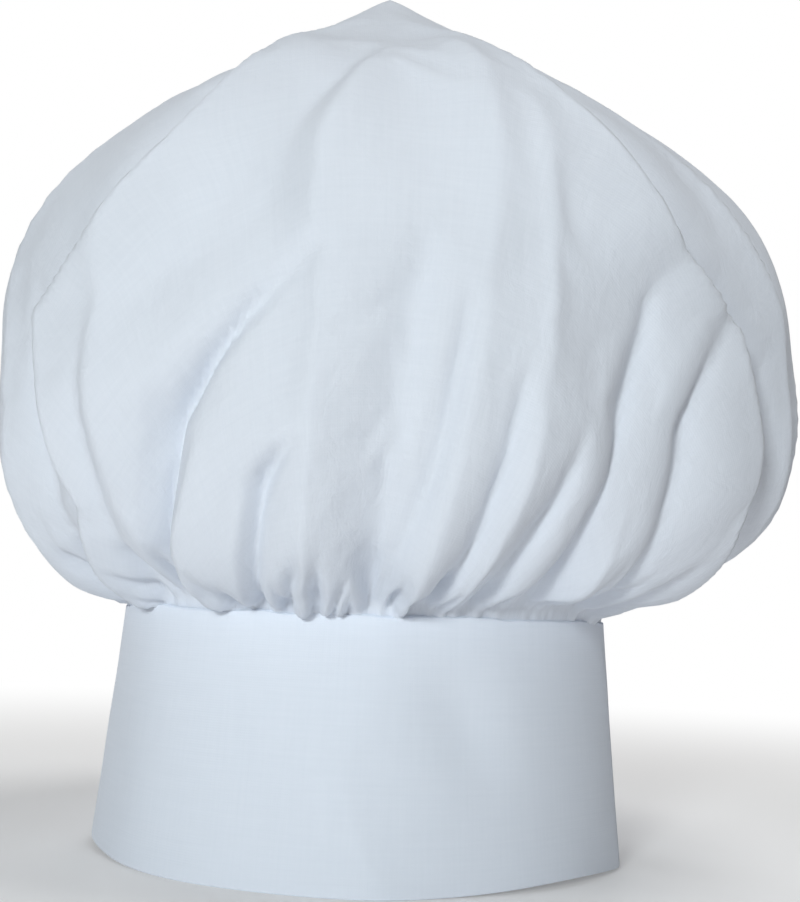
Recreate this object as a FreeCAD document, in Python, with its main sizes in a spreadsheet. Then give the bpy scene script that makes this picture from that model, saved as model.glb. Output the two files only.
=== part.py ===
"""A chef's toque: a gathered crown sewn into a stiffened band that closes at the back with a tab.

Frame: millimetres, +Z up, origin at the centre of the band's lower edge, front of the hat to -Y,
closure at the back to +Y. Angles are measured round +Z from +X.
"""
import FreeCAD, Part
import Sketcher
import math
import os

PARTS_FOLDER = "parts"

# Driving dimensions, in millimetres and degrees.
SIZES = {
    # band: a strip folded along its lower edge, round the head as a slightly flared ring
    "band_height": 86.0,
    "band_low_radius": 97.0,
    "band_flare": 7.0,
    "cloth": 0.4,
    "stiffener": 0.6,
    "ease": 0.05,
    "allowance": 8.0,
    "rim_gap": 0.5,
    # where the two ends of the ring meet at the back, and how much it leaves open
    "closure_angle": 80.0,
    "end_gap_angle": 1.8,
    # tab: the band's free end, which laps outside the other end
    "tab_angle": 34.0,
    "tab_foot": 0.8,
    "tab_top": 84.4,
    "tab_lift": 1.95,
    "tab_hem": 1.2,
    "tab_end_clear": 0.1,
    # touch tape
    "tape": 0.8,
    "tape_low": 11.0,
    "tape_high": 74.0,
    "loop_start": 5.0,
    "loop_angle": 26.5,
    "hook_start": 16.5,
    "hook_angle": 14.7,
    # crown: a hollow mushroom, one circle of cloth drawn in to the band
    "shell": 1.0,
    "crown_lift": 0.3,
    "lower_arc": 59.5,
    "crown_wall": 38.0,
    "shoulder_arc": 75.0,
    "shoulder_turn": 45.0,
    "slope_arc": 535.0,
    "tip_turn": 60.3,
    # vent: a bound slit in the crown above the band's gap
    "vent_half": 1.5,
    "vent_turn": 58.0,
    "binding_half": 6.0,
    "binding_ply": 0.4,
    "binding_ease": 0.25,
    "binding_gap": 0.5,
    "binding_start": 3.0,
    "binding_past_slit": 5.0,
    "tack_length": 2.0,
    "tack_width": 9.0,
    "tack_height": 0.6,
    # thread and label
    "thread": 0.25,
    "seam_height": 82.5,
    "gather_low": 2.0,
    "gather_high": 5.0,
    "label_angle": 58.0,
    "label_width": 32.0,
    "label_length": 44.0,
    "label_cloth": 0.3,
    "label_top": 85.0,
    "label_gap": 0.4,
}

STITCH_LENGTH = 2.3
STITCH_PITCH = 3.2
STITCH_WIDTH = 0.4
STITCH_HEIGHT = 0.2
STITCH_CLEAR = 0.03

# Where the stitch rows run, in millimetres from an edge or degrees round the band.
TAPE_INSET = 2.0
TAPE_INSET_ANGLE = 1.2
TAB_INSET = 2.5
TAB_INSET_ANGLE = 1.4
TAB_ROW_START = 2.0
UNDERLAP_INSET_ANGLE = 1.6
UNDERLAP_LOW = 3.0
UNDERLAP_HIGH = 83.0
ROW_CORNER = 1.0

# Margins that only keep a cutter clear of, or a piece off, its neighbour, in millimetres.
SLIT_INSIDE = 5.0
SLIT_PAST = 2.0
FOLD_CLEAR = 0.2
PLY_MARGIN = 1.0
THREAD_CLEAR = 0.02


class Size:
    """A number together with the expression that ties it to the sheet."""

    def __init__(self, number, text):
        self.number = number
        self.text = text

    @staticmethod
    def of(value):
        return value if isinstance(value, Size) else Size(float(value), repr(float(value)))

    def __add__(self, other):
        other = Size.of(other)
        return Size(self.number + other.number, f"({self.text} + {other.text})")

    def __sub__(self, other):
        other = Size.of(other)
        return Size(self.number - other.number, f"({self.text} - {other.text})")

    def __mul__(self, other):
        other = Size.of(other)
        return Size(self.number * other.number, f"({self.text} * {other.text})")

    def __truediv__(self, other):
        other = Size.of(other)
        return Size(self.number / other.number, f"({self.text} / {other.text})")

    def sin(self):
        return Size(math.sin(math.radians(self.number)), f"sin({self.text} * 1 deg)")

    def cos(self):
        return Size(math.cos(math.radians(self.number)), f"cos({self.text} * 1 deg)")


doc = FreeCAD.newDocument("chef_toque")


def write_sheet():
    """The sheet of driving dimensions, one alias a row."""
    made = doc.addObject("Spreadsheet::Sheet", "Sizes")
    for row, (alias, value) in enumerate(SIZES.items(), start=1):
        made.set(f"A{row}", alias)
        made.set(f"B{row}", str(value))
        made.setAlias(f"B{row}", alias)
    doc.recompute()
    return made


sheet = write_sheet()
parts = []


def size(alias):
    """The sheet's value for an alias, with its expression."""
    return Size(float(sheet.get(alias)), f"Sizes.{alias}")


ZERO = Size.of(0)


def keep(obj, label):
    """Enter a finished object as a sub-part under its label."""
    obj.Label = label
    parts.append(obj)
    return obj


def new_body(label):
    """A PartDesign body that becomes one sub-part."""
    return keep(doc.addObject("PartDesign::Body", label), label)


def upright_plane(body):
    """A body's own XZ plane, which every profile is drawn on."""
    return next(f for f in body.Origin.OriginFeatures if f.Role == "XZ_Plane")


def outline(body, name, corners, arcs=None):
    """A closed sketch through corners, with arcs[i] = (radius, side) from corner i to the next.

    side is +1 for a centre to the left of the chord and -1 for one to its right.
    """
    sketch = body.newObject("Sketcher::SketchObject", name)
    sketch.AttachmentSupport = [(upright_plane(body), "")]
    sketch.MapMode = "FlatFace"
    arcs = arcs or {}
    points = [FreeCAD.Vector(x.number, y.number, 0) for x, y in corners]
    count = len(points)
    ends = []
    for i, start in enumerate(points):
        stop = points[(i + 1) % count]
        if i in arcs:
            radius, side = arcs[i]
            chord = stop - start
            middle = (start + stop) * 0.5
            left = FreeCAD.Vector(-chord.y, chord.x, 0).normalize()
            reach = math.sqrt(radius.number ** 2 - (chord.Length / 2) ** 2)
            centre = middle + left * (side * reach)
            crest = centre - left * (side * radius.number)
            geo = sketch.addGeometry(Part.Arc(start, crest, stop), False)
        else:
            geo = sketch.addGeometry(Part.LineSegment(start, stop), False)
        first = sketch.getPoint(geo, 1)
        forward = (FreeCAD.Vector(first.x, first.y, 0) - start).Length < 1e-6
        ends.append((geo, 1 if forward else 2, 2 if forward else 1))
    for i, (x, y) in enumerate(corners):
        geo, begin, _ = ends[i]
        before, _, end = ends[i - 1]
        sketch.addConstraint(Sketcher.Constraint("Coincident", before, end, geo, begin))
        for kind, axis, length in (("DistanceX", -2, x), ("DistanceY", -1, y)):
            if length is ZERO:
                sketch.addConstraint(Sketcher.Constraint("PointOnObject", geo, begin, axis))
                continue
            number = sketch.addConstraint(
                Sketcher.Constraint(kind, -1, 1, geo, begin, length.number)
            )
            sketch.renameConstraint(number, f"{kind}_{i}")
            sketch.setExpression(f"Constraints.{kind}_{i}", length.text)
    for i, (radius, _) in arcs.items():
        number = sketch.addConstraint(Sketcher.Constraint("Radius", ends[i][0], radius.number))
        sketch.renameConstraint(number, f"Radius_{i}")
        sketch.setExpression(f"Constraints.Radius_{i}", radius.text)
    return sketch


def turn(body, name, sketch, angle):
    """Revolve a profile round Z by an angle."""
    made = body.newObject("PartDesign::Revolution", name)
    made.Profile = sketch
    made.ReferenceAxis = (sketch, ["V_Axis"])
    made.Angle = angle.number
    made.setExpression("Angle", angle.text)
    return made


def stand_at(obj, angle):
    """Turn a whole sub-part round Z to an angle of the sheet."""
    axis = FreeCAD.Vector(0, 0, 1)
    obj.Placement = FreeCAD.Placement(FreeCAD.Vector(), FreeCAD.Rotation(axis, angle.number))
    obj.setExpression(".Placement.Rotation.Angle", angle.text)


def band_radius(height, offset):
    """Radius of the band's outer face at a height, moved out by offset."""
    return size("band_low_radius") - size("band_flare") * height / size("band_height") + offset


def wall(low, high, inner, outer):
    """Corners of a thin wall that leans with the band, between two offsets from its face."""
    return [
        (band_radius(low, inner), low),
        (band_radius(low, outer), low),
        (band_radius(high, outer), high),
        (band_radius(high, inner), high),
    ]


cloth = size("cloth")
ease = size("ease")
band_thickness = cloth * 2 + size("stiffener") + ease * 2
ring_start = size("closure_angle") + size("end_gap_angle")
ring_angle = Size.of(360) - size("end_gap_angle")
inner_face = ZERO - band_thickness


def make_band():
    """The band cloth, folded along its lower edge and open at the top, and the stiffener in it."""
    body = new_body("band_cloth")
    top = size("band_height")
    floor = cloth
    inside_in = inner_face + cloth
    inside_out = ZERO - cloth
    corners = [
        (band_radius(ZERO, inner_face), ZERO),
        (band_radius(ZERO, ZERO), ZERO),
        (band_radius(top, ZERO), top),
        (band_radius(top, inside_out), top),
        (band_radius(floor, inside_out), floor),
        (band_radius(floor, inside_in), floor),
        (band_radius(top, inside_in), top),
        (band_radius(top, inner_face), top),
    ]
    turn(body, "BandTurn", outline(body, "BandOutline", corners), ring_angle)
    stand_at(body, ring_start)

    body = new_body("band_stiffener")
    top = size("band_height") - size("allowance") - size("rim_gap")
    corners = wall(cloth + ease, top, inside_in + ease, inside_out - ease)
    turn(body, "StiffenerTurn", outline(body, "StiffenerOutline", corners), ring_angle)
    stand_at(body, ring_start)


def make_tab():
    """The closure tab, its stiffener and the two halves of the touch tape."""
    low, high = size("tab_foot"), size("tab_top")
    lift = size("tab_lift")
    outer = lift + band_thickness
    body = new_body("closure_tab")
    turn(body, "TabTurn", outline(body, "TabOutline", wall(low, high, lift, outer)), size("tab_angle"))
    doc.recompute()
    pocket = body.newObject("PartDesign::Groove", "TabPocket")
    pocket.Profile = outline(
        body, "TabPocketOutline", wall(low + cloth, high - cloth, lift + cloth, outer - cloth)
    )
    pocket.ReferenceAxis = (pocket.Profile[0], ["V_Axis"])
    pocket_angle = size("tab_angle") - size("tab_hem")
    pocket.Angle = pocket_angle.number
    pocket.setExpression("Angle", pocket_angle.text)
    stand_at(body, size("closure_angle"))

    body = new_body("tab_stiffener")
    corners = wall(
        low + cloth + ease, high - cloth - ease, lift + cloth + ease, outer - cloth - ease
    )
    turn(body, "TabStiffenerTurn", outline(body, "TabStiffenerOutline", corners), pocket_angle - size("tab_end_clear"))
    stand_at(body, size("closure_angle"))

    tape_ends = size("tape_low"), size("tape_high")
    body = new_body("hook_tape")
    corners = wall(*tape_ends, lift - ease - size("tape"), lift - ease)
    turn(body, "HookTurn", outline(body, "HookOutline", corners), size("hook_angle"))
    stand_at(body, size("closure_angle") + size("hook_start"))

    body = new_body("loop_tape")
    corners = wall(*tape_ends, ease, ease + size("tape"))
    turn(body, "LoopTurn", outline(body, "LoopOutline", corners), size("loop_angle"))
    stand_at(body, size("closure_angle") + size("loop_start"))


# Crown profile. The outer line leaves the seam level, turns up through the lower arc, rises
# straight, turns in over the shoulder arc and runs up a long shallow arc to a small blunt tip.
shell = size("shell")
seam_radius = band_radius(size("band_height"), ZERO - cloth - ease)
seam_level = size("band_height") + size("crown_lift")
lower_arc = size("lower_arc")
belly_radius = seam_radius + lower_arc
belly_level = seam_level + lower_arc


def crown_line(depth):
    """Corners and arc radii of the crown's profile, a depth inside its outer line."""
    lower = lower_arc - depth
    shoulder = size("shoulder_arc") - depth
    slope = size("slope_arc") - depth
    bend, tip = size("shoulder_turn"), size("tip_turn")
    shoulder_x = belly_radius - size("shoulder_arc")
    shoulder_z = belly_level + size("crown_wall")
    rise = size("slope_arc") - size("shoulder_arc")
    slope_x = shoulder_x - bend.cos() * rise
    slope_z = shoulder_z - bend.sin() * rise
    foot = (seam_radius, belly_level - lower)
    corners = [
        foot,
        (seam_radius + lower, belly_level),
        (seam_radius + lower, shoulder_z),
        (shoulder_x + bend.cos() * shoulder, shoulder_z + bend.sin() * shoulder),
        (slope_x + tip.cos() * slope, slope_z + tip.sin() * slope),
    ]
    return corners, {0: lower, 2: shoulder, 3: slope}


def make_crown():
    """The crown: a hollow shell, its rim turned down between the band's plies, slit at the back."""
    body = new_body("crown")
    outer, outer_arcs = crown_line(ZERO)
    inner, inner_arcs = crown_line(shell)
    rim_low = size("band_height") - size("allowance")
    rim = size("cloth") - ease
    rim_out = ZERO - cloth - ease
    top_out, top_in = outer[-1][1], inner[-1][1]
    corners = (
        [(band_radius(rim_low, rim_out), rim_low)]
        + outer
        + [(ZERO, top_out), (ZERO, top_in)]
        + inner[::-1][:-1]
        + [
            (seam_radius, inner[0][1]),
            (seam_radius - rim, inner[0][1]),
            (band_radius(rim_low, rim_out - rim), rim_low),
        ]
    )
    arcs = {1 + i: (radius, 1) for i, radius in outer_arcs.items()}
    first = 1 + len(outer) + 2
    last = len(inner) - 1
    for i, radius in inner_arcs.items():
        arcs[first + last - 1 - i] = (radius, -1)
    turn(body, "CrownTurn", outline(body, "CrownOutline", corners, arcs), Size.of(360))
    doc.recompute()
    whole = body.Shape.Volume

    slit_end = size("vent_turn")
    slit = body.newObject("PartDesign::Pocket", "VentSlit")
    far = seam_radius + lower_arc * slit_end.sin()
    near = seam_radius - SLIT_INSIDE
    under, over = rim_low - SLIT_PAST, belly_level - lower_arc * slit_end.cos() + SLIT_PAST
    slit.Profile = outline(
        body, "VentOutline", [(near, under), (far, under), (far, over), (near, over)]
    )
    slit.SideType = "Symmetric"
    slit.Length = 2 * size("vent_half").number
    slit.setExpression("Length", "2 * Sizes.vent_half")
    doc.recompute()
    if not body.Shape.Volume < whole:
        raise RuntimeError("the vent slit cuts nothing")
    stand_at(body, vent_angle)


vent_angle = size("closure_angle") + size("end_gap_angle") / 2


def vent_strip(start, stop, depth_low, depth_high):
    """A curved strip along the crown's lower arc, between two turns and two depths."""
    inner, outer = lower_arc - depth_high, lower_arc - depth_low
    corners = [
        (seam_radius + start.sin() * outer, belly_level - start.cos() * outer),
        (seam_radius + stop.sin() * outer, belly_level - stop.cos() * outer),
        (seam_radius + stop.sin() * inner, belly_level - stop.cos() * inner),
        (seam_radius + start.sin() * inner, belly_level - start.cos() * inner),
    ]
    return corners, {0: (outer, 1), 2: (inner, -1)}


def slab(body, kind, name, corners, arcs, width):
    """Pad or pocket a profile equally to both sides of the body's XZ plane."""
    made = body.newObject(kind, name)
    made.Profile = outline(body, name + "Outline", corners, arcs)
    made.SideType = "Symmetric"
    made.Length = width.number
    made.setExpression("Length", width.text)
    doc.recompute()
    return made


def make_vent():
    """The bias binding folded over both edges of the slit, and the bar tack across its end."""
    body = new_body("vent_binding")
    gap, ply = size("binding_ease"), size("binding_ply")
    start, stop = size("binding_start"), size("vent_turn")
    end = stop + size("binding_past_slit")
    under, over = ZERO - gap - ply, shell + gap + ply
    corners, arcs = vent_strip(start, stop - FOLD_CLEAR, under, over)
    slab(body, "PartDesign::Pad", "BindingFold", corners, arcs, size("vent_half") * 2 - FOLD_CLEAR)
    corners, arcs = vent_strip(start, end, under, ZERO - gap)
    slab(body, "PartDesign::Pad", "BindingOutside", corners, arcs, size("binding_half") * 2)
    corners, arcs = vent_strip(start, end, shell + gap, over)
    slab(body, "PartDesign::Pad", "BindingInside", corners, arcs, size("binding_half") * 2)
    whole = body.Shape.Volume
    corners, arcs = vent_strip(
        start - SLIT_PAST, stop - SLIT_PAST, under - PLY_MARGIN, over + PLY_MARGIN
    )
    slab(body, "PartDesign::Pocket", "BindingGap", corners, arcs, size("binding_gap") * 2)
    if not body.Shape.Volume < whole:
        raise RuntimeError("the binding's gap cuts nothing")
    stand_at(body, vent_angle)

    tack = keep(doc.addObject("Part::Box", "vent_bartack"), "vent_bartack")
    for side in ("length", "width", "height"):
        setattr(tack, side.title(), size(f"tack_{side}").number)
        tack.setExpression(side.title(), size(f"tack_{side}").text)
    turned = stop.number
    reach = lower_arc.number + gap.number + ply.number + STITCH_CLEAR
    spin = FreeCAD.Rotation(FreeCAD.Vector(0, 1, 0), -turned)
    down = FreeCAD.Vector(math.sin(math.radians(turned)), 0, -math.cos(math.radians(turned)))
    reach += size("tack_height").number
    centre = FreeCAD.Vector(seam_radius.number, 0, belly_level.number) + down * reach
    half = FreeCAD.Vector(size("tack_length").number / 2, size("tack_width").number / 2, 0)
    corner = centre - spin.multVec(half)
    place = FreeCAD.Placement(corner, spin)
    round_z = FreeCAD.Rotation(FreeCAD.Vector(0, 0, 1), vent_angle.number)
    tack.Placement = FreeCAD.Placement(FreeCAD.Vector(), round_z).multiply(place)


def stitch(angle, height, offset, upright):
    """One stitch lying on the leaning face, along it or up it."""
    radius = band_radius(Size.of(height), Size.of(offset)).number
    lean = math.degrees(math.atan2(size("band_flare").number, size("band_height").number))
    block = Part.makeBox(STITCH_HEIGHT, STITCH_LENGTH, STITCH_WIDTH)
    block.translate(FreeCAD.Vector(0, -STITCH_LENGTH / 2, -STITCH_WIDTH / 2))
    if upright:
        block.rotate(FreeCAD.Vector(), FreeCAD.Vector(1, 0, 0), 90)
    block.rotate(FreeCAD.Vector(), FreeCAD.Vector(0, 1, 0), -lean)
    block.translate(FreeCAD.Vector(radius, 0, height))
    block.rotate(FreeCAD.Vector(), FreeCAD.Vector(0, 0, 1), angle)
    return block


def row_along(height, start, stop, offset):
    """A level row of stitches between two angles."""
    radius = band_radius(Size.of(height), Size.of(offset)).number
    count = max(1, int(math.radians(stop - start) * radius / STITCH_PITCH))
    step = (stop - start) / count
    return [stitch(start + step * (i + 0.5), height, offset, False) for i in range(count)]


def row_up(angle, low, high, offset):
    """An upright row of stitches between two heights."""
    count = max(1, int((high - low) / STITCH_PITCH))
    step = (high - low) / count
    return [stitch(angle, low + step * (i + 0.5), offset, True) for i in range(count)]


def stitching(label, rows):
    """A node of separate stitches."""
    made = keep(doc.addObject("Part::Feature", label), label)
    made.Shape = Part.makeCompound([block for row in rows for block in row])


def frame_rows(start, stop, low, high, offset):
    """Stitch rows round a rectangle on the leaning face."""
    half = math.degrees(ROW_CORNER / size("band_low_radius").number)
    return [
        row_along(low, start + half, stop - half, offset),
        row_along(high, start + half, stop - half, offset),
        row_up(start, low + ROW_CORNER, high - ROW_CORNER, offset),
        row_up(stop, low + ROW_CORNER, high - ROW_CORNER, offset),
    ]


def make_stitching():
    """Every visible row of machine stitching, and the thread rings in the crown's seam."""
    root = size("closure_angle").number
    on_tab = (size("tab_lift") + band_thickness).number + STITCH_CLEAR
    hook = root + size("hook_start").number
    tape_low = size("tape_low").number + TAPE_INSET
    tape_high = size("tape_high").number - TAPE_INSET
    stitching(
        "hook_tape_stitching",
        frame_rows(
            hook + TAPE_INSET_ANGLE, hook + size("hook_angle").number - TAPE_INSET_ANGLE,
            tape_low, tape_high, on_tab,
        ),
    )
    loop = root + size("loop_start").number
    on_loop = (ease + size("tape")).number + STITCH_CLEAR
    rows = frame_rows(
        loop + TAPE_INSET_ANGLE, loop + size("loop_angle").number - TAPE_INSET_ANGLE,
        tape_low, tape_high, on_loop,
    )
    stitching("loop_tape_stitching", rows)
    tab_end = root + size("tab_angle").number
    low, high = size("tab_foot").number + TAB_INSET, size("tab_top").number - TAB_INSET
    stitching(
        "tab_edge_stitching",
        [
            row_along(low, root + TAB_ROW_START, tab_end - TAB_ROW_START, on_tab),
            row_along(high, root + TAB_ROW_START, tab_end - TAB_ROW_START, on_tab),
            row_up(tab_end - TAB_INSET_ANGLE, low + ROW_CORNER, high - ROW_CORNER, on_tab),
        ],
    )
    under = ring_start.number + UNDERLAP_INSET_ANGLE
    stitching("underlap_stitching", [row_up(under, UNDERLAP_LOW, UNDERLAP_HIGH, STITCH_CLEAR)])

    thread = size("thread") / 2
    seam = size("seam_height")
    make_ring("crown_seam_stitching", [(seam, band_radius(seam, inner_face - ease) - thread)])
    rim_out = ZERO - cloth - ease
    rim_in = rim_out - (cloth - ease) - THREAD_CLEAR
    rim_low = size("band_height") - size("allowance")
    heights = [rim_low + size(step) for step in ("gather_low", "gather_high")]
    rings = [(height, band_radius(height, rim_in) - thread) for height in heights]
    make_ring("gathering_thread", rings)


def make_ring(label, rings):
    """Thread rings at heights and radii, open where the band is open."""
    made = []
    for i, (height, radius) in enumerate(rings):
        ring = doc.addObject("Part::Torus", f"{label}_ring_{i}")
        for name, value in (("Radius1", radius), ("Radius2", size("thread") / 2), ("Angle3", ring_angle)):
            setattr(ring, name, value.number)
            ring.setExpression(name, value.text)
        spin = FreeCAD.Rotation(FreeCAD.Vector(0, 0, 1), ring_start.number)
        ring.Placement = FreeCAD.Placement(FreeCAD.Vector(0, 0, height.number), spin)
        ring.setExpression(".Placement.Base.z", height.text)
        made.append(ring)
    if len(made) == 1:
        keep(made[0], label)
        return
    group = keep(doc.addObject("Part::Compound", label), label)
    group.Links = made


def make_label():
    """The blank care label, caught in the seam and hanging plumb inside the band."""
    label = keep(doc.addObject("Part::Box", "care_label"), "care_label")
    for name, alias in (("Length", "label_cloth"), ("Width", "label_width"), ("Height", "label_length")):
        setattr(label, name, size(alias).number)
        label.setExpression(name, size(alias).text)
    half_width = size("label_width").number / 2
    wall_radius = band_radius(size("label_top"), inner_face).number
    # the wall curves away from the flat label, so its two edges come nearest to the wall
    radius = math.sqrt(wall_radius ** 2 - half_width ** 2)
    radius -= size("label_gap").number + size("label_cloth").number
    foot = size("label_top").number - size("label_length").number
    spin = FreeCAD.Rotation(FreeCAD.Vector(0, 0, 1), size("label_angle").number)
    corner = spin.multVec(FreeCAD.Vector(radius, -half_width, foot))
    label.Placement = FreeCAD.Placement(corner, spin)
    hinge = spin.multVec(FreeCAD.Vector(radius + size("label_cloth").number, 0, foot))
    print("label hinge", hinge.x, hinge.y, size("label_top").number)


def check_parts():
    """Stop if any object failed or any sub-part isn't a sound closed shape."""
    doc.recompute()
    for obj in doc.Objects:
        if "Invalid" in obj.State or "Error" in obj.State:
            raise RuntimeError(f"{obj.Label} failed: {obj.State}")
    for part in parts:
        if part.Shape.isNull() or not part.Shape.isValid() or not part.Shape.Solids:
            raise RuntimeError(f"{part.Label} has no sound solid")


def write_parts():
    """One STEP file a sub-part."""
    os.makedirs(PARTS_FOLDER, exist_ok=True)
    for part in parts:
        part.Shape.exportStep(os.path.join(PARTS_FOLDER, f"{part.Label}.step"))
        box = part.Shape.BoundBox
        print(
            f"{part.Label}: {len(part.Shape.Solids)} solid(s), {part.Shape.Volume:.0f} mm3,"
            f" z {box.ZMin:.1f} to {box.ZMax:.1f}"
        )


make_crown()
make_band()
make_tab()
make_vent()
make_stitching()
make_label()
check_parts()
write_parts()
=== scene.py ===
"""A chef's toque: a circle of poplin gathered into a stiffened band that closes at the back.

Metres, +Z up, the front of the hat towards -Y. A bearing is an angle in degrees round the hat
from its front, positive towards +X, so that a point at bearing b and radius r stands at
(r sin b, -r cos b). Sizes in the classes are millimetres unless their name says otherwise.
"""
from __future__ import annotations

import logging
import math
from dataclasses import dataclass, field
from enum import Enum

import bpy
import numpy as np
from mathutils import Matrix, Vector


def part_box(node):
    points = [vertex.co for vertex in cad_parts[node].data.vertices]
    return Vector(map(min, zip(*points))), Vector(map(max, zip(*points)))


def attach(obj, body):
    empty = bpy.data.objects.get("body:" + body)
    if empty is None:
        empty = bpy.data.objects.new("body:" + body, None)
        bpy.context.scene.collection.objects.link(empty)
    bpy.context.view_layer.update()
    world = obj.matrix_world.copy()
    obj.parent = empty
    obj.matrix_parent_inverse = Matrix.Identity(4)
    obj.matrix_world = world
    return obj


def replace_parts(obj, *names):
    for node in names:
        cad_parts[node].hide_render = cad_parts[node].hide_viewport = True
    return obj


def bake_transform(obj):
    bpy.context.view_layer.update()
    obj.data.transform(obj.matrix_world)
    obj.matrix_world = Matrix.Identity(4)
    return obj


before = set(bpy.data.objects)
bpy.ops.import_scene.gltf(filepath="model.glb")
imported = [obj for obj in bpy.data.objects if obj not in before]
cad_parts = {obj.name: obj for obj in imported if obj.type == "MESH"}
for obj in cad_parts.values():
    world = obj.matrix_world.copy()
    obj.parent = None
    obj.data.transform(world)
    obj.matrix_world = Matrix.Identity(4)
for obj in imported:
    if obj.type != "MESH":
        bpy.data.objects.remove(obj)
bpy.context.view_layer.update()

LOG = logging.getLogger("toque")
MM = 0.001
FULL_TURN = 360.0

BAND_HEIGHT = 86.0
BAND_FOOT_RADIUS = 97.0
BAND_FLARE = 7.0
BAND_THICKNESS = 1.5
CLOTH = 0.4


class Body(str, Enum):
    """The rigid bodies that the pieces ride on."""

    HAT = "toque"
    TAB = "tab"
    LABEL = "label"


class Held(str, Enum):
    """How a sheet of cloth is held."""

    GATHERED = "gathered"
    FOLDED = "folded"
    HUNG = "hung"


# ---------------------------------------------------------------- small sums on whole arrays


def ease(x: np.ndarray) -> np.ndarray:
    """Smooth step: 0 below 0, 1 above 1, and 3x^2 - 2x^3 between.

    Args:
        x: Any numbers.

    Returns:
        The steps, of the same shape.
    """
    x = np.clip(x, 0.0, 1.0)
    return x * x * (3.0 - 2.0 * x)


def turned(degrees: np.ndarray) -> np.ndarray:
    """Bring angles into the half turn either side of nought."""
    return (degrees + 180.0) % FULL_TURN - 180.0


def round_line(points: np.ndarray, steps: int = 40) -> np.ndarray:
    """A smooth line through points.

    Each span is the Catmull-Rom cubic of its two ends and their two neighbours.

    Args:
        points: The points in order, one a row.
        steps: How many points stand for each span.

    Returns:
        The line's points, one a row.
    """
    ends = np.vstack([2 * points[0] - points[1], points, 2 * points[-1] - points[-2]])
    a, b, c, d = (ends[i : len(ends) - 3 + i, None, :] for i in range(4))
    t = np.linspace(0, 1, steps, endpoint=False)[None, :, None]
    span = 2 * b + (c - a) * t + (2 * a - 5 * b + 4 * c - d) * t**2 + (3 * b - a - 3 * c + d) * t**3
    return np.vstack([0.5 * span.reshape(-1, points.shape[1]), points[-1:]])


def value_noise(u: np.ndarray, v: np.ndarray, seed: int, wrap: int = 256) -> np.ndarray:
    """Smooth noise between -1 and 1: random heights on whole numbers, eased between them.

    Args:
        u: First coordinate, in cells.
        v: Second coordinate, in cells.
        seed: Which table of heights.
        wrap: After how many cells of the first coordinate the noise repeats.

    Returns:
        The noise, of the same shape.
    """
    table = np.random.default_rng(seed).uniform(-1, 1, (256, 256))
    i, j = np.floor(u).astype(int), np.floor(v).astype(int)
    a, b = ease(u - i), ease(v - j)
    left, right = i % wrap, (i + 1) % wrap
    near = table[left, j % 256] * (1 - a) + table[right, j % 256] * a
    far = table[left, (j + 1) % 256] * (1 - a) + table[right, (j + 1) % 256] * a
    return near * (1 - b) + far * b


def polar(bearing: np.ndarray, radius: np.ndarray, height: np.ndarray) -> np.ndarray:
    """Points at bearings, radii and heights, in millimetres.

    Args:
        bearing: Degrees round from the front.
        radius: Distance from the hat's axis.
        height: Height over the band's foot.

    Returns:
        Points with x = r sin b, y = -r cos b and z, in the last axis.
    """
    b = np.radians(bearing)
    radius, height = radius + 0.0 * b, height + 0.0 * b
    return np.stack([radius * np.sin(b), -radius * np.cos(b), height], -1)


# ---------------------------------------------------------------- meshes


def grid_faces(rows: int, columns: int, closed_rows: bool = False, closed_columns: bool = False) -> np.ndarray:
    """Quads of a grid of rows x columns points counted row by row.

    Args:
        rows: Points along the first way.
        columns: Points along the second way.
        closed_rows: Join the last row to the first.
        closed_columns: Join the last column to the first.

    Returns:
        Four point numbers a quad.
    """
    i = np.arange(rows if closed_rows else rows - 1)[:, None]
    j = np.arange(columns if closed_columns else columns - 1)[None, :]
    k, m = (i + 1) % rows, (j + 1) % columns
    quads = [i * columns + j, i * columns + m, k * columns + m, k * columns + j]
    return np.stack([np.broadcast_to(q, np.broadcast_shapes(i.shape, j.shape)) for q in quads], -1).reshape(-1, 4)


def block_faces(rows: int, columns: int) -> np.ndarray:
    """Quads of a closed tube of rows rings of columns points, with a fan point at either end.

    The two fan points are numbered rows*columns and rows*columns + 1.
    """
    side = grid_faces(rows, columns, closed_columns=True)
    j = np.arange(columns)
    k = (j + 1) % columns
    first = np.stack([np.full(columns, rows * columns), k, j], -1)
    base = (rows - 1) * columns
    last = np.stack([np.full(columns, rows * columns + 1), base + j, base + k], -1)
    return side, np.concatenate([first, last])


def build(name: str, points: np.ndarray, faces: list[np.ndarray], uv: np.ndarray | None = None) -> bpy.types.Object:
    """Put points in millimetres and faces into a new smooth-shaded object at the origin.

    Args:
        name: The piece's name.
        points: One point a row.
        faces: Arrays of three or four point numbers a row.
        uv: The pattern's place at each point, in metres, if the piece has one.

    Returns:
        The object, linked into the scene.
    """
    rows = [f.tolist() for f in faces if len(f)]
    mesh = bpy.data.meshes.new(name)
    mesh.from_pydata((points.reshape(-1, 3) * MM).tolist(), [], [r for group in rows for r in group])
    mesh.update()
    mesh.polygons.foreach_set("use_smooth", np.ones(len(mesh.polygons), bool))
    if uv is not None:
        layer = mesh.uv_layers.new(name="Cloth")
        corners = np.empty(len(mesh.loops), int)
        mesh.loops.foreach_get("vertex_index", corners)
        layer.data.foreach_set("uv", uv.reshape(-1, 2)[corners].astype(np.float32).ravel())
    piece = bpy.data.objects.new(name, mesh)
    bpy.context.scene.collection.objects.link(piece)
    return piece


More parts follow.
